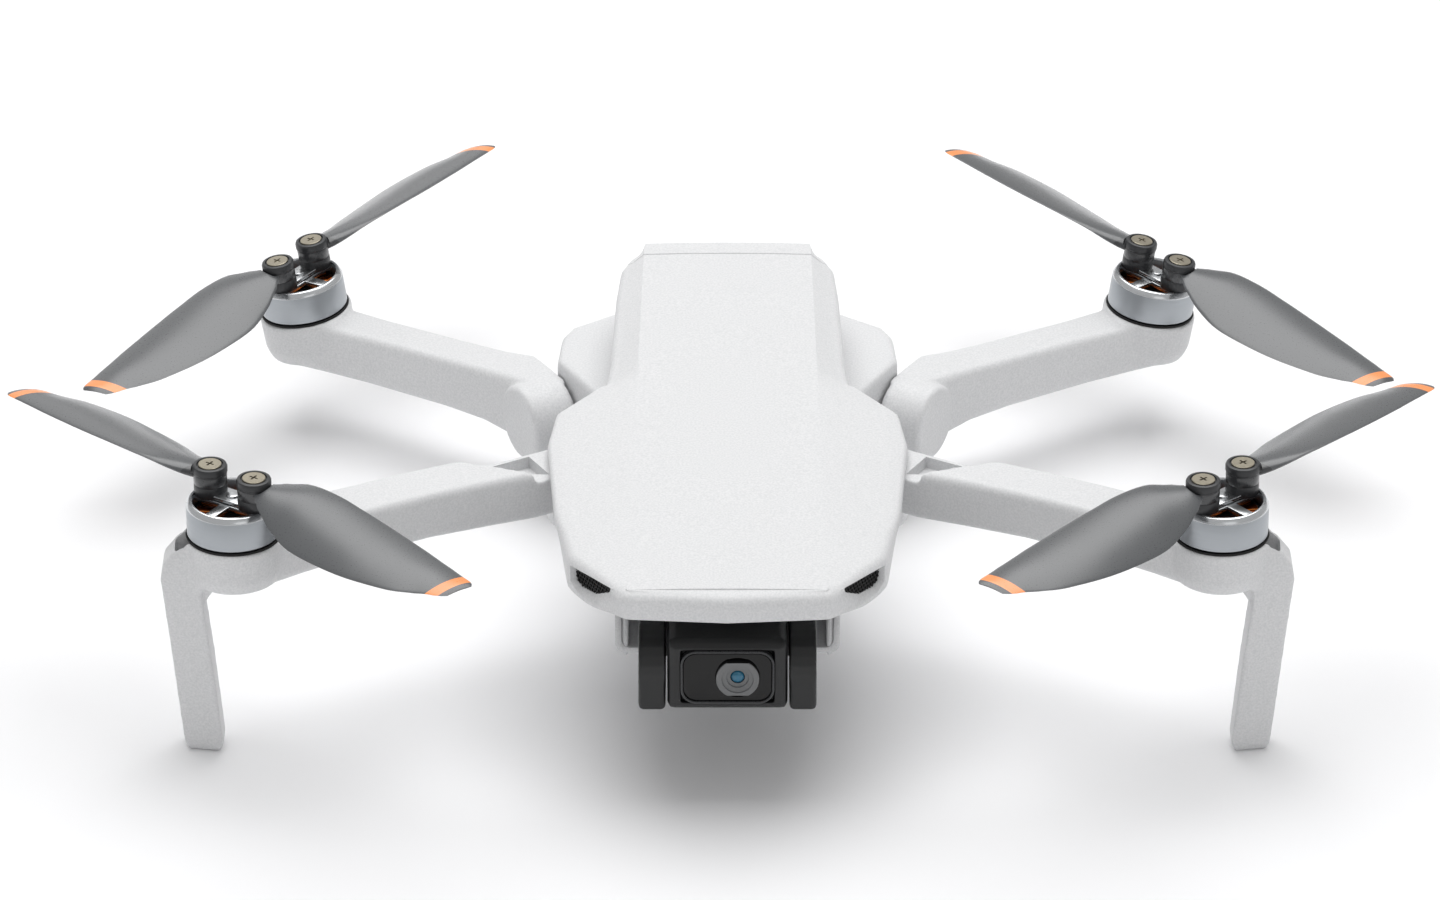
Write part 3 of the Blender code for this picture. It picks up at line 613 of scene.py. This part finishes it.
def buildTopShell():
    path = hoodPath()
    columns = []
    for i, point in enumerate(path):
        before, after = path[max(i - 1, 0)], path[min(i + 1, len(path) - 1)]
        along = (after - before).normalized()
        inward = Vector((-along.y, along.x))
        if i in (0, len(path) - 1):
            inward = Vector((0, 1 if i == 0 else -1))
        edge, lower = hoodEdgeHeight(point.y), hoodLowerEdge(point.y)
        groove = 0.32 if point.x > 10 and abs(point.y - hood["doorLineY"]) < 0.15 else 0.0
        radius = min(hood["edgeRadius"], edge - lower - 0.6)
        profile = [(0.5, lower), (0.15, lower + 0.1), (0.01, lower + 0.3)]
        wallTop = edge - radius
        profile += [(0, lower + 0.3 + (wallTop - lower - 0.3) * t) for t in (0.33, 0.66, 1.0)]
        for k in range(1, 6):
            angle = math.radians(76 * k / 5)
            profile.append((radius * (1 - math.cos(angle)), wallTop + radius * math.sin(angle)))
        column = []
        for inset, height in profile:
            spot = point + inward * (inset + groove)
            column.append(Vector((max(spot.x, 0) if 0 < i < len(path) - 1 else 0, spot.y, height)))
        last = column[-1].copy()
        stripY = min(max(last.y, -84.8), 50.6)
        stripX = min(last.x, hood["strip"] - 0.013 * (stripY + 88))
        stripZ = hoodStripHeight(stripY)
        for t in (0.2, 0.4, 0.6, 0.8, 0.93, 1.0):
            rise = math.sin(t * math.pi / 2) ** 0.9 if stripX == last.x else t
            spot = Vector((last.x + (stripX - last.x) * t, last.y + (stripY - last.y) * t,
                           last.z + (stripZ - 0.12 - last.z) * rise - groove))
            column.append(spot)
        columns.append(column)
    bm = skin(columns, closed=False, capped=False)
    hoodStrip(bm, [column[-1] for column in columns])
    other = mirrored(bm)
    whole = merged(bm, other)
    bmesh.ops.remove_doubles(whole, verts=whole.verts, dist=0.02)
    bmesh.ops.dissolve_degenerate(whole, edges=whole.edges, dist=0.01)
    bmesh.ops.recalc_face_normals(whole, faces=whole.faces)
    top = max(whole.faces, key=lambda f: f.calc_center_median().z)
    if top.normal.z < 0:
        bmesh.ops.reverse_faces(whole, faces=whole.faces)
    made = temporary(whole)
    step = made.modifiers.new("wall", "SOLIDIFY")
    step.thickness = hood["wall"]
    step.offset = -1
    return evaluated(made)


# mouth and floor: matching corners of the recess, measured along and up from its middle
intake = {"middle": (23.45, -79.05, 39.75), "along": (10.1, 15.1), "depth": 1.0, "wall": 0.7,
          "meshPitch": 0.85,
          "mouth": [(8.3, 2.0), (-5.2, 3.2), (-9.0, 1.1), (-7.6, -1.3), (-2.2, -2.5), (5.6, -2.7),
                    (8.2, -1.3)],
          "floor": [(7.95, 1.6), (-3.75, 2.9), (-3.4, 2.2), (-3.0, 1.4), (1.2, -0.9), (5.9, -1.6),
                    (7.8, -0.9)]}


def intakeFrame():
    along = Vector((*intake["along"], 0)).normalized()
    out = Vector((along.y, -along.x, 0))
    turn = Matrix((along, (0, 0, 1), out)).transposed().to_4x4()
    return Matrix.Translation(intake["middle"]) @ turn


# levels: (depth, how far from the mouth to the floor outline)
def intakeLoft(levels, grow=0.0):
    rings = []
    for depth, share in levels:
        ring = []
        for (u, v), (a, b) in zip(intake["mouth"], intake["floor"]):
            x, z = u + (a - u) * share, v + (b - v) * share
            ring.append((x * (1 + grow / 8.5),
                         z + (min(z, 0) - 0.6) / 3.3 * grow if z < 1 else z + 0.2 * grow, depth))
        rings.append(ring)
    bm = skin(rings)
    bmesh.ops.recalc_face_normals(bm, faces=bm.faces)
    return bm


def intakeMouth():
    bm = bevelled(intakeLoft([(0.9, -0.6), (-intake["depth"], 1.0), (-7.0, 1.0)]), 0.22, 2, 20)
    bmesh.ops.transform(bm, verts=bm.verts, matrix=intakeFrame())
    return bm


def intakeWalls():
    bm = intakeLoft([(-0.4, 0.2), (-intake["depth"] - 0.2, 1.0), (-intake["depth"] - 1.2, 1.0)],
                    intake["wall"])
    bmesh.ops.transform(bm, verts=bm.verts, matrix=intakeFrame())
    return bm


def intakeGrille():
    pitch = intake["meshPitch"]
    cell = bmesh.new()
    outer = bmesh.ops.create_circle(cell, segments=6, radius=pitch / math.sqrt(3) * 1.02)["verts"]
    inner = bmesh.ops.create_circle(cell, segments=6, radius=pitch / math.sqrt(3) * 0.72)["verts"]
    for i in range(6):
        n = (i + 1) % 6
        cell.faces.new((outer[i], outer[n], inner[n], inner[i]))
    raised = bmesh.ops.extrude_face_region(cell, geom=list(cell.faces))
    moved = [v for v in raised["geom"] if isinstance(v, bmesh.types.BMVert)]
    bmesh.ops.translate(cell, verts=moved, vec=(0, 0, 0.3))
    bmesh.ops.rotate(cell, verts=cell.verts, matrix=Matrix.Rotation(math.radians(30), 3, "Z"))
    bmesh.ops.recalc_face_normals(cell, faces=cell.faces)
    settings = {"Columns": round(12.4 / pitch), "Rows": round(4.6 / pitch * 1.155), "Pitch": pitch}
    sheet = repeated(honeycomb, cell, settings, meshLook)
    bmesh.ops.translate(sheet, verts=sheet.verts, vec=(2.3 - pitch / 4, 0.4, -intake["depth"] - 0.35))
    back = bevelled(block(-3.6, 8.0, -2.0, 2.8, -intake["depth"] - 1.1, -intake["depth"] - 0.5), 0.2)
    sheet = merged(sheet, back)
    bmesh.ops.transform(sheet, verts=sheet.verts, matrix=intakeFrame())
    return sheet


topShell = buildTopShell()
walls, mouth = intakeWalls(), intakeMouth()
for tool, step in ((walls, "UNION"), (mouth, "DIFFERENCE")):
    topShell = boolean(topShell, mirrored(tool), step)
    topShell = boolean(topShell, tool, step)
addPiece("top_shell_skin", topShell, shellLook, "fuselage", ["top_shell"], 28)
for side, word in sides:
    sheet = intakeGrille()
    addPiece(f"intake_mesh_{word}", sheet if side > 0 else mirrored(sheet), meshLook, "fuselage",
             [f"intake_grille_{word}"])
print("top shell and intakes done")


# lower shell

lower = {"voxel": 0.55, "rounds": 5}


def cheek():                                      # thin rounded wall beside the gimbal, open in front
    outer = roundedPath([(20.3, 36.5), (20.3, 17.8), (15.4, 17.8)], [4.6], 10)
    inner = roundedPath([(19.1, 36.5), (19.1, 19.0), (15.4, 19.0)], [3.6], 10)
    section = list(outer) + list(reversed(inner))
    body = outward(skin([[(p.x, y, p.y) for p in section] for y in (-62.0, -46.0)]))
    return bevelled(body, 0.3, 2, 50)


lowerShell = merged(moulded(cadCopy("lower_shell"), lower["voxel"], lower["rounds"]), cheek(),
                    mirrored(cheek()))
# painted shade: black plates just inside the cheeks and across the back of the gimbal bay, where the recess
# lies in shade
bayShade = merged(bevelled(block(18.05, 18.9, -61.2, -46.6, 19.6, 36.2), 0.15),
                bevelled(block(-18.9, -18.05, -61.2, -46.6, 19.6, 36.2), 0.15),
                bevelled(block(-17.8, 17.8, -46.35, -45.8, 17.5, 36.5), 0.15))
addPiece("gimbal_bay_lining", bayShade, blackAndShadeLook, "fuselage", [], 40)
addPiece("lower_shell_skin", lowerShell, shellLook, "fuselage", ["lower_shell"], 40)
print("lower shell done")


# arms

# seat and socket: how far the motor stands above the rim it sits on, and above the bottom of its recess
armShape = {"voxel": 0.38, "rounds": 8, "rootRadius": 6.6, "seat": 7.2, "seatRadius": 9.6, "socket": 9.7,
            "socketRadius": 7.7, "pinHole": 1.8}


def ringAt(centre, along, section):               # a section turned to stand across a direction in plan
    across = Vector((-along.y, along.x, 0))
    return [centre + across * w + Vector((0, 0, z)) for w, z in section]


def frontArm():
    pivot, motor = jointPoint("front_left_fold"), jointPoint("front_left_spin")
    pivot.z, rimZ = 0, motor.z - armShape["seat"]
    foot = Vector((motor.x, motor.y, 0))
    line = foot - pivot
    along, reach = line.normalized(), line.length
    # distance from the hinge, half width, underside and top
    stations = [(0.5, 5.3, 31.7, 41.2), (12, 5.4, 31.8, 41.8), (22, 5.45, 32.8, 42.6), (34, 5.5, 33.8, 43.3),
                (50, 5.6, 34.1, 43.7), (60, 6.2, 34.2, 43.7), (reach, 7.4, 34.2, 43.4)]
    beam = skin([ringAt(pivot + along * s, along, roundedSection(w, low, high, 1.7))
                 for s, w, low, high in stations])
    step = bmesh.new()                            # lowered top beside the hinge, with a slanting end
    outline = [(-9, -9), (11.6, -9), (11.6, -5.6), (24.4, 5.8), (24.4, 9), (-9, 9)]
    bottom = [step.verts.new((u, w, 39.6)) for u, w in outline]
    face = step.faces.new(bottom)
    lifted = bmesh.ops.extrude_face_region(step, geom=[face])
    bmesh.ops.translate(step, verts=[v for v in lifted["geom"] if isinstance(v, bmesh.types.BMVert)],
                        vec=(0, 0, 12))
    bmesh.ops.recalc_face_normals(step, faces=step.faces)
    angle = math.atan2(line.y, line.x)
    turn = Matrix.Translation(pivot) @ Matrix.Rotation(angle, 4, "Z")
    bmesh.ops.transform(step, verts=step.verts, matrix=turn)
    beam = boolean(outward(beam), step)
    cup = lathe([(0, 34.0), (6.4, 34.0), (8.2, 34.9), (8.9, 37.0), (9.1, rimZ), (0, rimZ)], 96, through=foot)
    leg = skin([[(x0, y0, z), (x1, y0 + 0.9, z), (x1, y1, z), (x0, y1, z)] for x0, x1, y0, y1, z in
                ((88.5, 98.2, -67.6, -61.0, 42.3), (90.5, 100.9, -68.0, -60.8, 39.0),
                 (93.4, 101.5, -68.0, -60.8, 35.6),
                 (94.2, 101.2, -67.9, -60.8, 33.0), (92.6, 99.8, -67.6, -60.8, 18.0),
                 (91.2, 98.3, -67.3, -60.9, 1.4),
                 (92.1, 97.5, -66.7, -61.5, 0.0))])
    armpit = skin([[(x0, -66.4, z), (x1, -66.4, z), (x1, -61.2, z), (x0, -61.2, z)] for x0, x1, z in
                   ((90.5, 96, 36.5), (91.8, 96, 33.4), (93.4, 96, 31.0), (94.3, 96, 28.5))])
    root = disc(armShape["rootRadius"], 31.6, 39.6, 0.4, through=pivot)
    body = merged(beam, cup, outward(leg), outward(armpit), root)
    body = moulded(body, armShape["voxel"], armShape["rounds"])
    body = boolean(body, bore(armShape["seatRadius"], rimZ, rimZ + 6, through=foot))
    body = boolean(body, bore(armShape["socketRadius"], rimZ - 2.5, rimZ + 8, through=foot))
    body = boolean(body, bore(armShape["pinHole"], 20, 60, 48, through=pivot))
    pocket = skin([[(93.0, -66.3, z), (98.2 + s, -66.6 - s / 3, z), (98.4 + s, -62.4, z), (94.8, -62.0, z)]
                   for z, s in ((39.2, 0.0), (44.5, 1.2))])
    body = boolean(body, outward(bevelled(pocket, 0.5)))
    well = skin([[pivot + along * u + Vector((-along.y, along.x, 0)) * w + Vector((0, 0, z)) for u, w in
                  ((8.4, 4.3), (18.6, 4.3), (12.0, -1.4), (8.4, -3.6))] for z in (37.4, 42)])
    body = boolean(body, outward(well))
    return body


def rearArm():
    pivot, motor = jointPoint("rear_left_fold"), jointPoint("rear_left_spin")
    axis = -jointAxis("rear_left_fold")
    spin = upright("rear_left_spin")
    line = motor - pivot
    line.z = 0
    along, reach = line.normalized(), line.length
    base = Vector((pivot.x, pivot.y, 0))
    # distance from the hinge, half width, underside and top
    stations = [(0, 6.6, 11.3, 25.7), (6, 6.4, 11.6, 25.6), (11, 5.7, 12.3, 25.3), (17, 5.1, 13.3, 24.9),
                (26, 4.9, 13.8, 24.7),
                (44, 4.9, 13.9, 24.4), (reach - 8, 5.4, 13.9, 24.2), (reach, 6.6, 14.2, 23.8)]
    beam = skin([ringAt(base + along * s, along, roundedSection(w, low, high, 1.9))
                 for s, w, low, high in stations])
    knuckle = disc(7.3, 2.0, 11.4, 0.8, axis=axis, through=pivot)
    cup = lathe([(0, -16.6), (6.2, -16.6), (8.2, -15.6), (8.9, -13.4), (9.05, -7.2), (0, -7.2)], 96,
                axis=spin, through=motor)
    body = moulded(merged(outward(beam), knuckle, cup), armShape["voxel"], armShape["rounds"])
    turn = axis.to_track_quat("X", "Z").to_matrix().to_4x4()
    half = block(-30, 1.86, -40, 40, -40, 40)
    bmesh.ops.transform(half, verts=half.verts, matrix=Matrix.Translation(pivot) @ turn)
    body = boolean(body, half)
    body = boolean(body, bore(armShape["seatRadius"], -armShape["seat"], 0, axis=spin, through=motor))
    body = boolean(body, bore(armShape["socketRadius"], -armShape["socket"], 4, axis=spin, through=motor))
    return boolean(body, bore(armShape["pinHole"], -5, 9.4, 48, axis=axis, through=pivot))


frontLeft, rearLeft = frontArm(), rearArm()
for side, word in sides:
    for corner, shape in (("front", frontLeft), ("rear", rearLeft)):
        piece = shape.copy() if side > 0 else mirrored(shape)
        addPiece(f"{corner}_{word}_arm_skin", piece, shellLook, f"{corner}_{word}_arm_body",
                 [f"{corner}_{word}_arm"], 50)
print("arms done")


# motors, hubs and screws

motor = {"bellRadius": 8.4, "bellHeight": 6.7, "coils": 12, "coilRing": 4.6, "pivotSpacing": 4.85,
         "postRadius": 3.02}


def motorPlace(corner, word):
    spin = upright(f"{corner}_{word}_spin")
    blade = jointPoint(f"{corner}_{word}_blade_fold_1") - jointPoint(f"{corner}_{word}_spin")
    across = (blade - spin * blade.dot(spin)).normalized()
    turn = Matrix((across, spin.cross(across), spin)).transposed().to_4x4()
    return Matrix.Translation(jointPoint(f"{corner}_{word}_spin")) @ turn


def bellShape():
    r, h = motor["bellRadius"], motor["bellHeight"]
    ring = lathe([(r - 0.25, -h), (r, -h + 0.25), (r, -1.05), (r - 0.12, -0.8), (r - 0.5, -0.12),
                  (r - 0.72, 0),
                  (r - 1.05, 0), (r - 1.2, -0.25), (r - 1.2, -h)], 128)
    for face in ring.faces:
        middle = face.calc_center_median()
        flat = math.hypot(middle.x, middle.y)
        if middle.z > -0.95 and flat > r - 1.15:
            face.material_index = 1
    spokes = bevelled(boolean(block(-7.4, 7.4, -2.3, 2.3, -1.35, -0.35),
                              block(-1.0, 1.0, -7.4, 7.4, -1.35, -0.35),
                              "UNION"), 0.12, 2)
    for face in spokes.faces:
        face.material_index = 2
    boss = disc(1.5, -1.6, -0.05, 0.2, 48)
    for face in boss.faces:
        face.material_index = 2
    return merged(ring, spokes, boss)


def coilShape():
    body = bevelled(block(-2.1, 2.1, -1.15, 1.15, -2.4, 2.4), 0.55, 3)
    bmesh.ops.translate(body, verts=body.verts, vec=(0, 0, -4.6))
    return body


def statorShape():
    coils = repeated(ringOfCopies, coilShape(), {"Count": motor["coils"], "Radius": motor["coilRing"]},
                     copperLook)
    for face in coils.faces:
        face.material_index = 0
    core = lathe([(1.4, -8.4), (3.0, -8.4), (3.0, -2.3), (1.4, -2.3)], 64)
    teeth = lathe([(6.35, -6.9), (6.9, -6.9), (6.9, -2.4), (6.35, -2.4)], 96)
    # the black base flange: the stator's own black base, made a little wider than the bell so that its black
    # also paints the shadow in the gap under the bell
    flangeAndGapShade = lathe([(5.5, -7.18), (8.62, -7.18), (8.66, -7.0), (8.6, -6.82), (5.5, -6.82)], 96)
    for face in list(core.faces) + list(teeth.faces) + list(flangeAndGapShade.faces):
        face.material_index = 1
    return merged(coils, core, teeth, flangeAndGapShade)


def hubShape():
    s = motor["pivotSpacing"]
    bar = bevelled(block(-s, s, -2.1, 2.1, -0.2, 0.5), 0.15, 2)
    boss = disc(1.15, 0.4, 0.85, 0.15, 32)
    for face in list(bar.faces) + list(boss.faces):
        face.material_index = 1
    r = motor["postRadius"]
    feet = [disc(r, -0.3, 1.88, 0.06, through=(x, 0, 0)) for x in (-s, s)]
    bushes = [lathe([(0, 3.84), (r, 3.84), (r, 4.05), (3.14, 4.2), (3.14, 5.05), (2.98, 5.4), (2.7, 5.52),
                     (2.42, 5.5), (2.3, 5.2), (0, 5.2)], 64, through=(x, 0, 0)) for x in (-s, s)]
    return merged(bar, boss, *feet, *bushes)


def screwShape():
    head = lathe([(0, 5.1), (2.0, 5.1), (2.12, 5.25), (2.1, 5.52), (2.0, 5.6), (0, 5.6)], 48)
    cross = bevelled(block(-0.85, 0.85, -0.17, 0.17, 5.3, 6.2), 0.04, 1)
    other = bevelled(block(-0.17, 0.17, -0.85, 0.85, 5.3, 6.2), 0.04, 1)
    head = boolean(boolean(head, cross), other)
    shank = disc(0.85, 1.9, 5.3, 0.1, 24)
    return merged(head, shank)


for corner in ("front", "rear"):
    for side, word in sides:
        place = motorPlace(corner, word)
        name, rotor = f"{corner}_{word}", f"{corner}_{word}_rotor"
        parts = (("bell", bellShape(), [bellLook, rimLook, spokeLook], rotor, "satin_aluminium",
                  [f"{name}_motor_bell"]),
                 ("windings", statorShape(), [copperLook, blackAndShadeLook], f"{name}_arm_body", "copper_winding",
                  [f"{name}_stator"]),
                 ("hub", hubShape(), [hubLook, spokeLook], rotor, "hub_plastic", [f"{name}_propeller_hub"]),
                 ("screws", repeated(lineOfCopies, screwShape(),
                                     {"Count": 2, "Spacing": 2 * motor["pivotSpacing"]}, screwLook),
                  screwLook, rotor, "nickel_screw", [f"{name}_blade_screw_1", f"{name}_blade_screw_2"]))
        for label, shape, looks, body, slotName, replaced in parts:
            bmesh.ops.transform(shape, verts=shape.verts, matrix=place)
            addPiece(f"{name}_{label}_detail", shape, looks, body, replaced, 35)
print("motors done")


# propeller blades

blade = {"tip": 51.7, "sections": 46, "around": 26, "droop": 1.4, "sweep": 0.35}
# distance from the pivot, chord, thickness, pitch in degrees, leading edge ahead of the pivot line
bladeTable = [(1.9, 4.6, 2.0, 0, 2.3), (4.5, 8.0, 1.9, 10, 3.8), (9, 12.1, 1.5, 18.3, 5.4),
              (15, 14.7, 1.2, 19.2, 5.6),
              (21, 15.0, 1.1, 17.8, 5.0), (30, 14.2, 1.0, 14.8, 3.9), (39, 11.8, 0.8, 12.3, 2.6),
              (46, 8.7, 0.7, 10.5, 1.4), (50.3, 6.8, 0.6, 7, 0.7), (51.7, 6.0, 0.5, 6, 0.4)]


def tableAt(table, x):                            # smooth interpolation through the rows
    k = max(i for i in range(len(table) - 1) if table[i][0] <= x or i == 0)
    rows = [table[min(max(k + d, 0), len(table) - 1)] for d in (-1, 0, 1, 2)]
    t = (x - rows[1][0]) / (rows[2][0] - rows[1][0])
    values = []
    for a, b, c, d in zip(*[row[1:] for row in rows]):
        start = 2 * b + (c - a) * t + (2 * a - 5 * b + 4 * c - d) * t * t
        values.append(0.5 * (start + (3 * b - a - 3 * c + d) * t ** 3))
    return values


def bladeRing(x, chord, thickness, pitch, lead):
    turn, ring = math.radians(pitch), []
    for k in range(blade["around"]):
        angle = math.tau * k / blade["around"]
        along = 0.5 - 0.5 * math.cos(angle)
        camber = 0.05 * chord * math.sin(math.pi * along)
        high = camber + thickness * 0.62 * math.sin(angle) * (1 - 0.55 * along)
        across = lead - along * chord
        ring.append((x, across * math.cos(turn) - high * math.sin(turn),
                     across * math.sin(turn) + high * math.cos(turn)))
    return ring


def bladeShape(spin):
    first, last = bladeTable[0][0], bladeTable[-1][0]
    count = blade["sections"]
    stops = [first + (last - first) * (1 - (1 - k / count) ** 1.25) for k in range(count + 1)]
    rings = []
    for x in stops:
        chord, thickness, pitch, lead = tableAt(bladeTable, x)
        if x > last - 1.2:                        # softly rounded end
            left = math.sqrt(max(0.02, 1 - ((x - last + 1.2) / 1.22) ** 2))
            centre = lead - chord / 2
            chord *= 0.72 + 0.28 * left
            thickness *= 0.3 + 0.7 * left
            lead = centre + chord / 2
        sag = blade["droop"] * (x / blade["tip"]) ** 2
        # the end is cut at a slant, longest at the leading edge
        slant = blade["sweep"] * ramp(x, last - 12, last, 0, 1)
        rings.append([(a + slant * (b - lead), b, c - sag)
                      for a, b, c in bladeRing(x, chord, thickness, pitch, lead)])
    wing = skin(rings)
    bmesh.ops.recalc_face_normals(wing, faces=wing.faces)
    whole = boolean(wing, disc(motor["postRadius"], -1.5, 0.42, 0.06), "UNION")
    whole = boolean(whole, bore(1.3, -6, 6, 48))
    whole = boolean(whole, bore(3.5, 0.42, 6, 64))
    if spin < 0:
        bmesh.ops.scale(whole, vec=(1, -1, 1), verts=whole.verts)
        bmesh.ops.reverse_faces(whole, faces=whole.faces)
    return whole


bladeShapes = {1: bladeShape(1), -1: bladeShape(-1)}
for corner in ("front", "rear"):
    for side, word in sides:
        hand = side * (-1 if corner == "front" else 1)
        for number in (1, 2):
            name = f"{corner}_{word}_blade"
            shape = bladeShapes[hand].copy()
            layer = shape.verts.layers.float.new("span")
            for vert in shape.verts:
                vert[layer] = (vert.co.x - blade["sweep"] * (vert.co.y * hand - 0.5)) / blade["tip"]
            spin = upright(f"{corner}_{word}_spin")
            pin = jointPoint(f"{name}_fold_{number}")
            points = [frame["nodes"][f"{name}_{number}"].matrix_world @ v.co / mm - pin
                      for v in frame["nodes"][f"{name}_{number}"].data.vertices]
            out = sum((p for p in points if p.length > 45), Vector())
            across = (out - spin * out.dot(spin)).normalized()
            turn = Matrix((across, spin.cross(across), spin)).transposed().to_4x4()
            bmesh.ops.transform(shape, verts=shape.verts, matrix=Matrix.Translation(pin) @ turn)
            addPiece(f"{name}_{number}_skin", shape, bladeLook, f"{name}_body_{number}",
                     [f"{name}_{number}"], 42)
print("blades done")


# gimbal and camera

camera = {"voxel": 0.26, "housingVoxel": 0.2, "rounds": 3, "lensHole": 4.0, "lensFlat": 3.3, "pupil": 1.25}
ear = bevelled(block(11.0, 15.85, -84.9, -72.6, 19.1, 27.5), 0.8, 3)      # flat-footed end of the yoke's arm
ears = merged(ear, mirrored(ear))
for node, body, extra in (("gimbal_roll_yoke", "gimbal_roll_body", ears),
                          ("gimbal_yaw_arm", "gimbal_yaw_body", bmesh.new())):
    solid = moulded(merged(cadCopy(node), extra), camera["voxel"], camera["rounds"])
    addPiece(f"{node}_skin", solid, gimbalLook, body, [node], 60)
addPiece("camera_housing_skin", moulded(cadCopy("camera_housing"), camera["housingVoxel"], camera["rounds"]),
         gimbalLook, "camera_body",
         ["camera_housing"], 60)
lensLow, lensHigh = (Vector(corner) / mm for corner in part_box("lens_barrel"))
lensAxis = Vector(((lensLow.x + lensHigh.x) / 2, lensLow.y, (lensLow.z + lensHigh.z) / 2))
windowLow, windowHigh = (Vector(corner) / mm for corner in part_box("camera_window"))


def windowShape():
    middle = (windowLow + windowHigh) / 2
    half = (windowHigh - windowLow) / 2
    rings = []
    for depth, inset in ((half.y, 0.1), (-half.y + 0.3, 0), (-half.y + 0.08, 0.12), (-half.y, 0.35)):
        ring = roundedSection(half.x - inset, -half.z + inset, half.z - inset, 2.6 - inset, 8)
        rings.append([(middle.x + x, middle.y + depth, middle.z + z) for x, z in ring])
    plate = outward(skin(rings))
    hole = bore(camera["lensHole"], -4, 4, axis=(0, 1, 0), through=(lensAxis.x, middle.y, lensAxis.z))
    plate = boolean(plate, hole)
    rings = []
    for depth, grow in ((half.y, 0.45), (-half.y - 0.12, 0.42), (-half.y - 0.22, 0.28),
                        (-half.y - 0.22, 0.12),
                        (-half.y - 0.1, 0.0), (half.y, 0.0)):
        ring = roundedSection(half.x + grow, -half.z - grow, half.z + grow, 2.4 + grow, 8)
        rings.append([(middle.x + x, middle.y + depth, middle.z + z) for x, z in ring])
    frameRing = skin(rings + [rings[0]], capped=False)
    frameRing = outward(frameRing)
    for face in frameRing.faces:
        face.material_index = 1
    return merged(plate, frameRing)


addPiece("camera_window_skin", windowShape(), [windowLook, frameLook], "camera_body",
         ["camera_window"], 35)
barrel = lathe([(0, 1.5), (1.2, 1.4), (1.3, 1.1), (1.9, 0.95), (2.0, 0.7), (2.75, 0.5), (2.85, 0.22),
                (3.75, 0.12),
                (3.85, 0.25), (3.85, 7.4), (0, 7.4)], 96, axis=(0, 1, 0), through=lensAxis)
keep = block(lensAxis.x - 5, lensAxis.x + 5, lensAxis.y - 1, lensAxis.y + 9,
             lensAxis.z - camera["lensFlat"], lensAxis.z + camera["lensFlat"])
barrel = boolean(barrel, keep, "INTERSECT")          # the bezel is cut flat above and below
for face in barrel.faces:
    middle = face.calc_center_median() - lensAxis
    far = math.hypot(middle.x, middle.z)
    face.material_index = 0 if far > camera["pupil"] and middle.y < 2 else 1
addPiece("lens_barrel_skin", barrel, [bezelLook, blackAndShadeLook], "camera_body", ["lens_barrel"],
         30)
glass = lathe([(0, 0.62), (0.5, 0.68), (0.95, 0.86), (1.22, 1.1), (1.22, 1.45), (0, 1.45)], 96,
              axis=(0, 1, 0),
              through=lensAxis)
addPiece("lens_glass", glass, lensLook, "camera_body", [], 60)
print("camera done")


# pieces kept from the frame, with their finishes

keptLooks = {"mainboard": boardLook, "heat_sink": alloyLook, "gimbal_damper_plate": gimbalLook,
             "satellite_receiver": ceramicLook, "belly_sensor_window": windowLook,
             "battery_door_pin": steelLook,
             "battery_pack": batteryLook, "battery_door": shellLook, "power_button": buttonLook,
             "cooling_fan": blackAndShadeLook}
for corner in ("front", "rear"):
    for side, word in sides:
        keptLooks[f"{corner}_{word}_hinge_pin"] = steelLook
        keptLooks[f"{corner}_{word}_motor_shaft"] = steelLook
for node, look in keptLooks.items():
    mesh = frame["nodes"][node].data
    if not mesh.materials:
        mesh.materials.append(look)
    for place in frame["nodes"][node].material_slots:
        place.material = look


# floor, light and camera

studio = {"floor": "#F7F7F8", "world": "#FFFFFF", "worldStrength": 0.5, "floorSize": 12}
bpy.ops.mesh.primitive_plane_add(size=studio["floorSize"])
floor = bpy.context.object
floor.name = "studio_floor"
floorLook, _, floorShader = newMaterial("pale_backdrop", studio["floor"], 0.95)
floorShader.inputs["Specular IOR Level"].default_value = 0.1
floor.data.materials.append(floorLook)
world = bpy.data.worlds.new("studio")
bpy.context.scene.world = world
world.use_nodes = True
sky = world.node_tree.nodes["Background"]
sky.inputs["Color"].default_value = linear(studio["world"])
sky.inputs["Strength"].default_value = studio["worldStrength"]
bpy.context.scene.view_settings.view_transform = "Standard"

# position in metres, width of the panel, power in watts
lamps = {"top": ((0.0, 0.4, 1.4), 1.4, 19.0), "front": ((0.6, -1.7, 0.9), 0.9, 1.2),
         "rim": ((-0.5, 1.6, 0.7), 0.8, 1.0)}
lampAim = Vector((0, 0, 0.03))
for name, (spot, size, power) in lamps.items():
    lamp = bpy.data.lights.new(name, "AREA")
    lamp.size = size
    lamp.energy = power
    holder = bpy.data.objects.new(name, lamp)
    holder.location = spot
    holder.rotation_euler = (lampAim - Vector(spot)).to_track_quat("-Z", "Y").to_euler()
    bpy.context.scene.collection.objects.link(holder)

# elevation in degrees, distance and target in metres, lens and sensor in millimetres
shot = {"elevation": 28.3, "distance": 1.370, "target": (0, 0, 0.025), "lens": 182.5, "shiftX": -0.0052,
        "shiftY": 0.0038, "sensor": 36}
lensData = bpy.data.cameras.new("shot")
lensData.sensor_width = shot["sensor"]
lensData.lens = shot["lens"]
lensData.shift_x = shot["shiftX"]
lensData.shift_y = shot["shiftY"]
lensData.clip_end = 50
viewer = bpy.data.objects.new("shot", lensData)
tilt = math.radians(shot["elevation"])
viewer.location = Vector(shot["target"]) + Vector((0, -math.cos(tilt), math.sin(tilt))) * shot["distance"]
viewer.rotation_euler = (Vector(shot["target"]) - viewer.location).to_track_quat("-Z", "Y").to_euler()
bpy.context.scene.collection.objects.link(viewer)
bpy.context.scene.camera = viewer

print("scene ready")
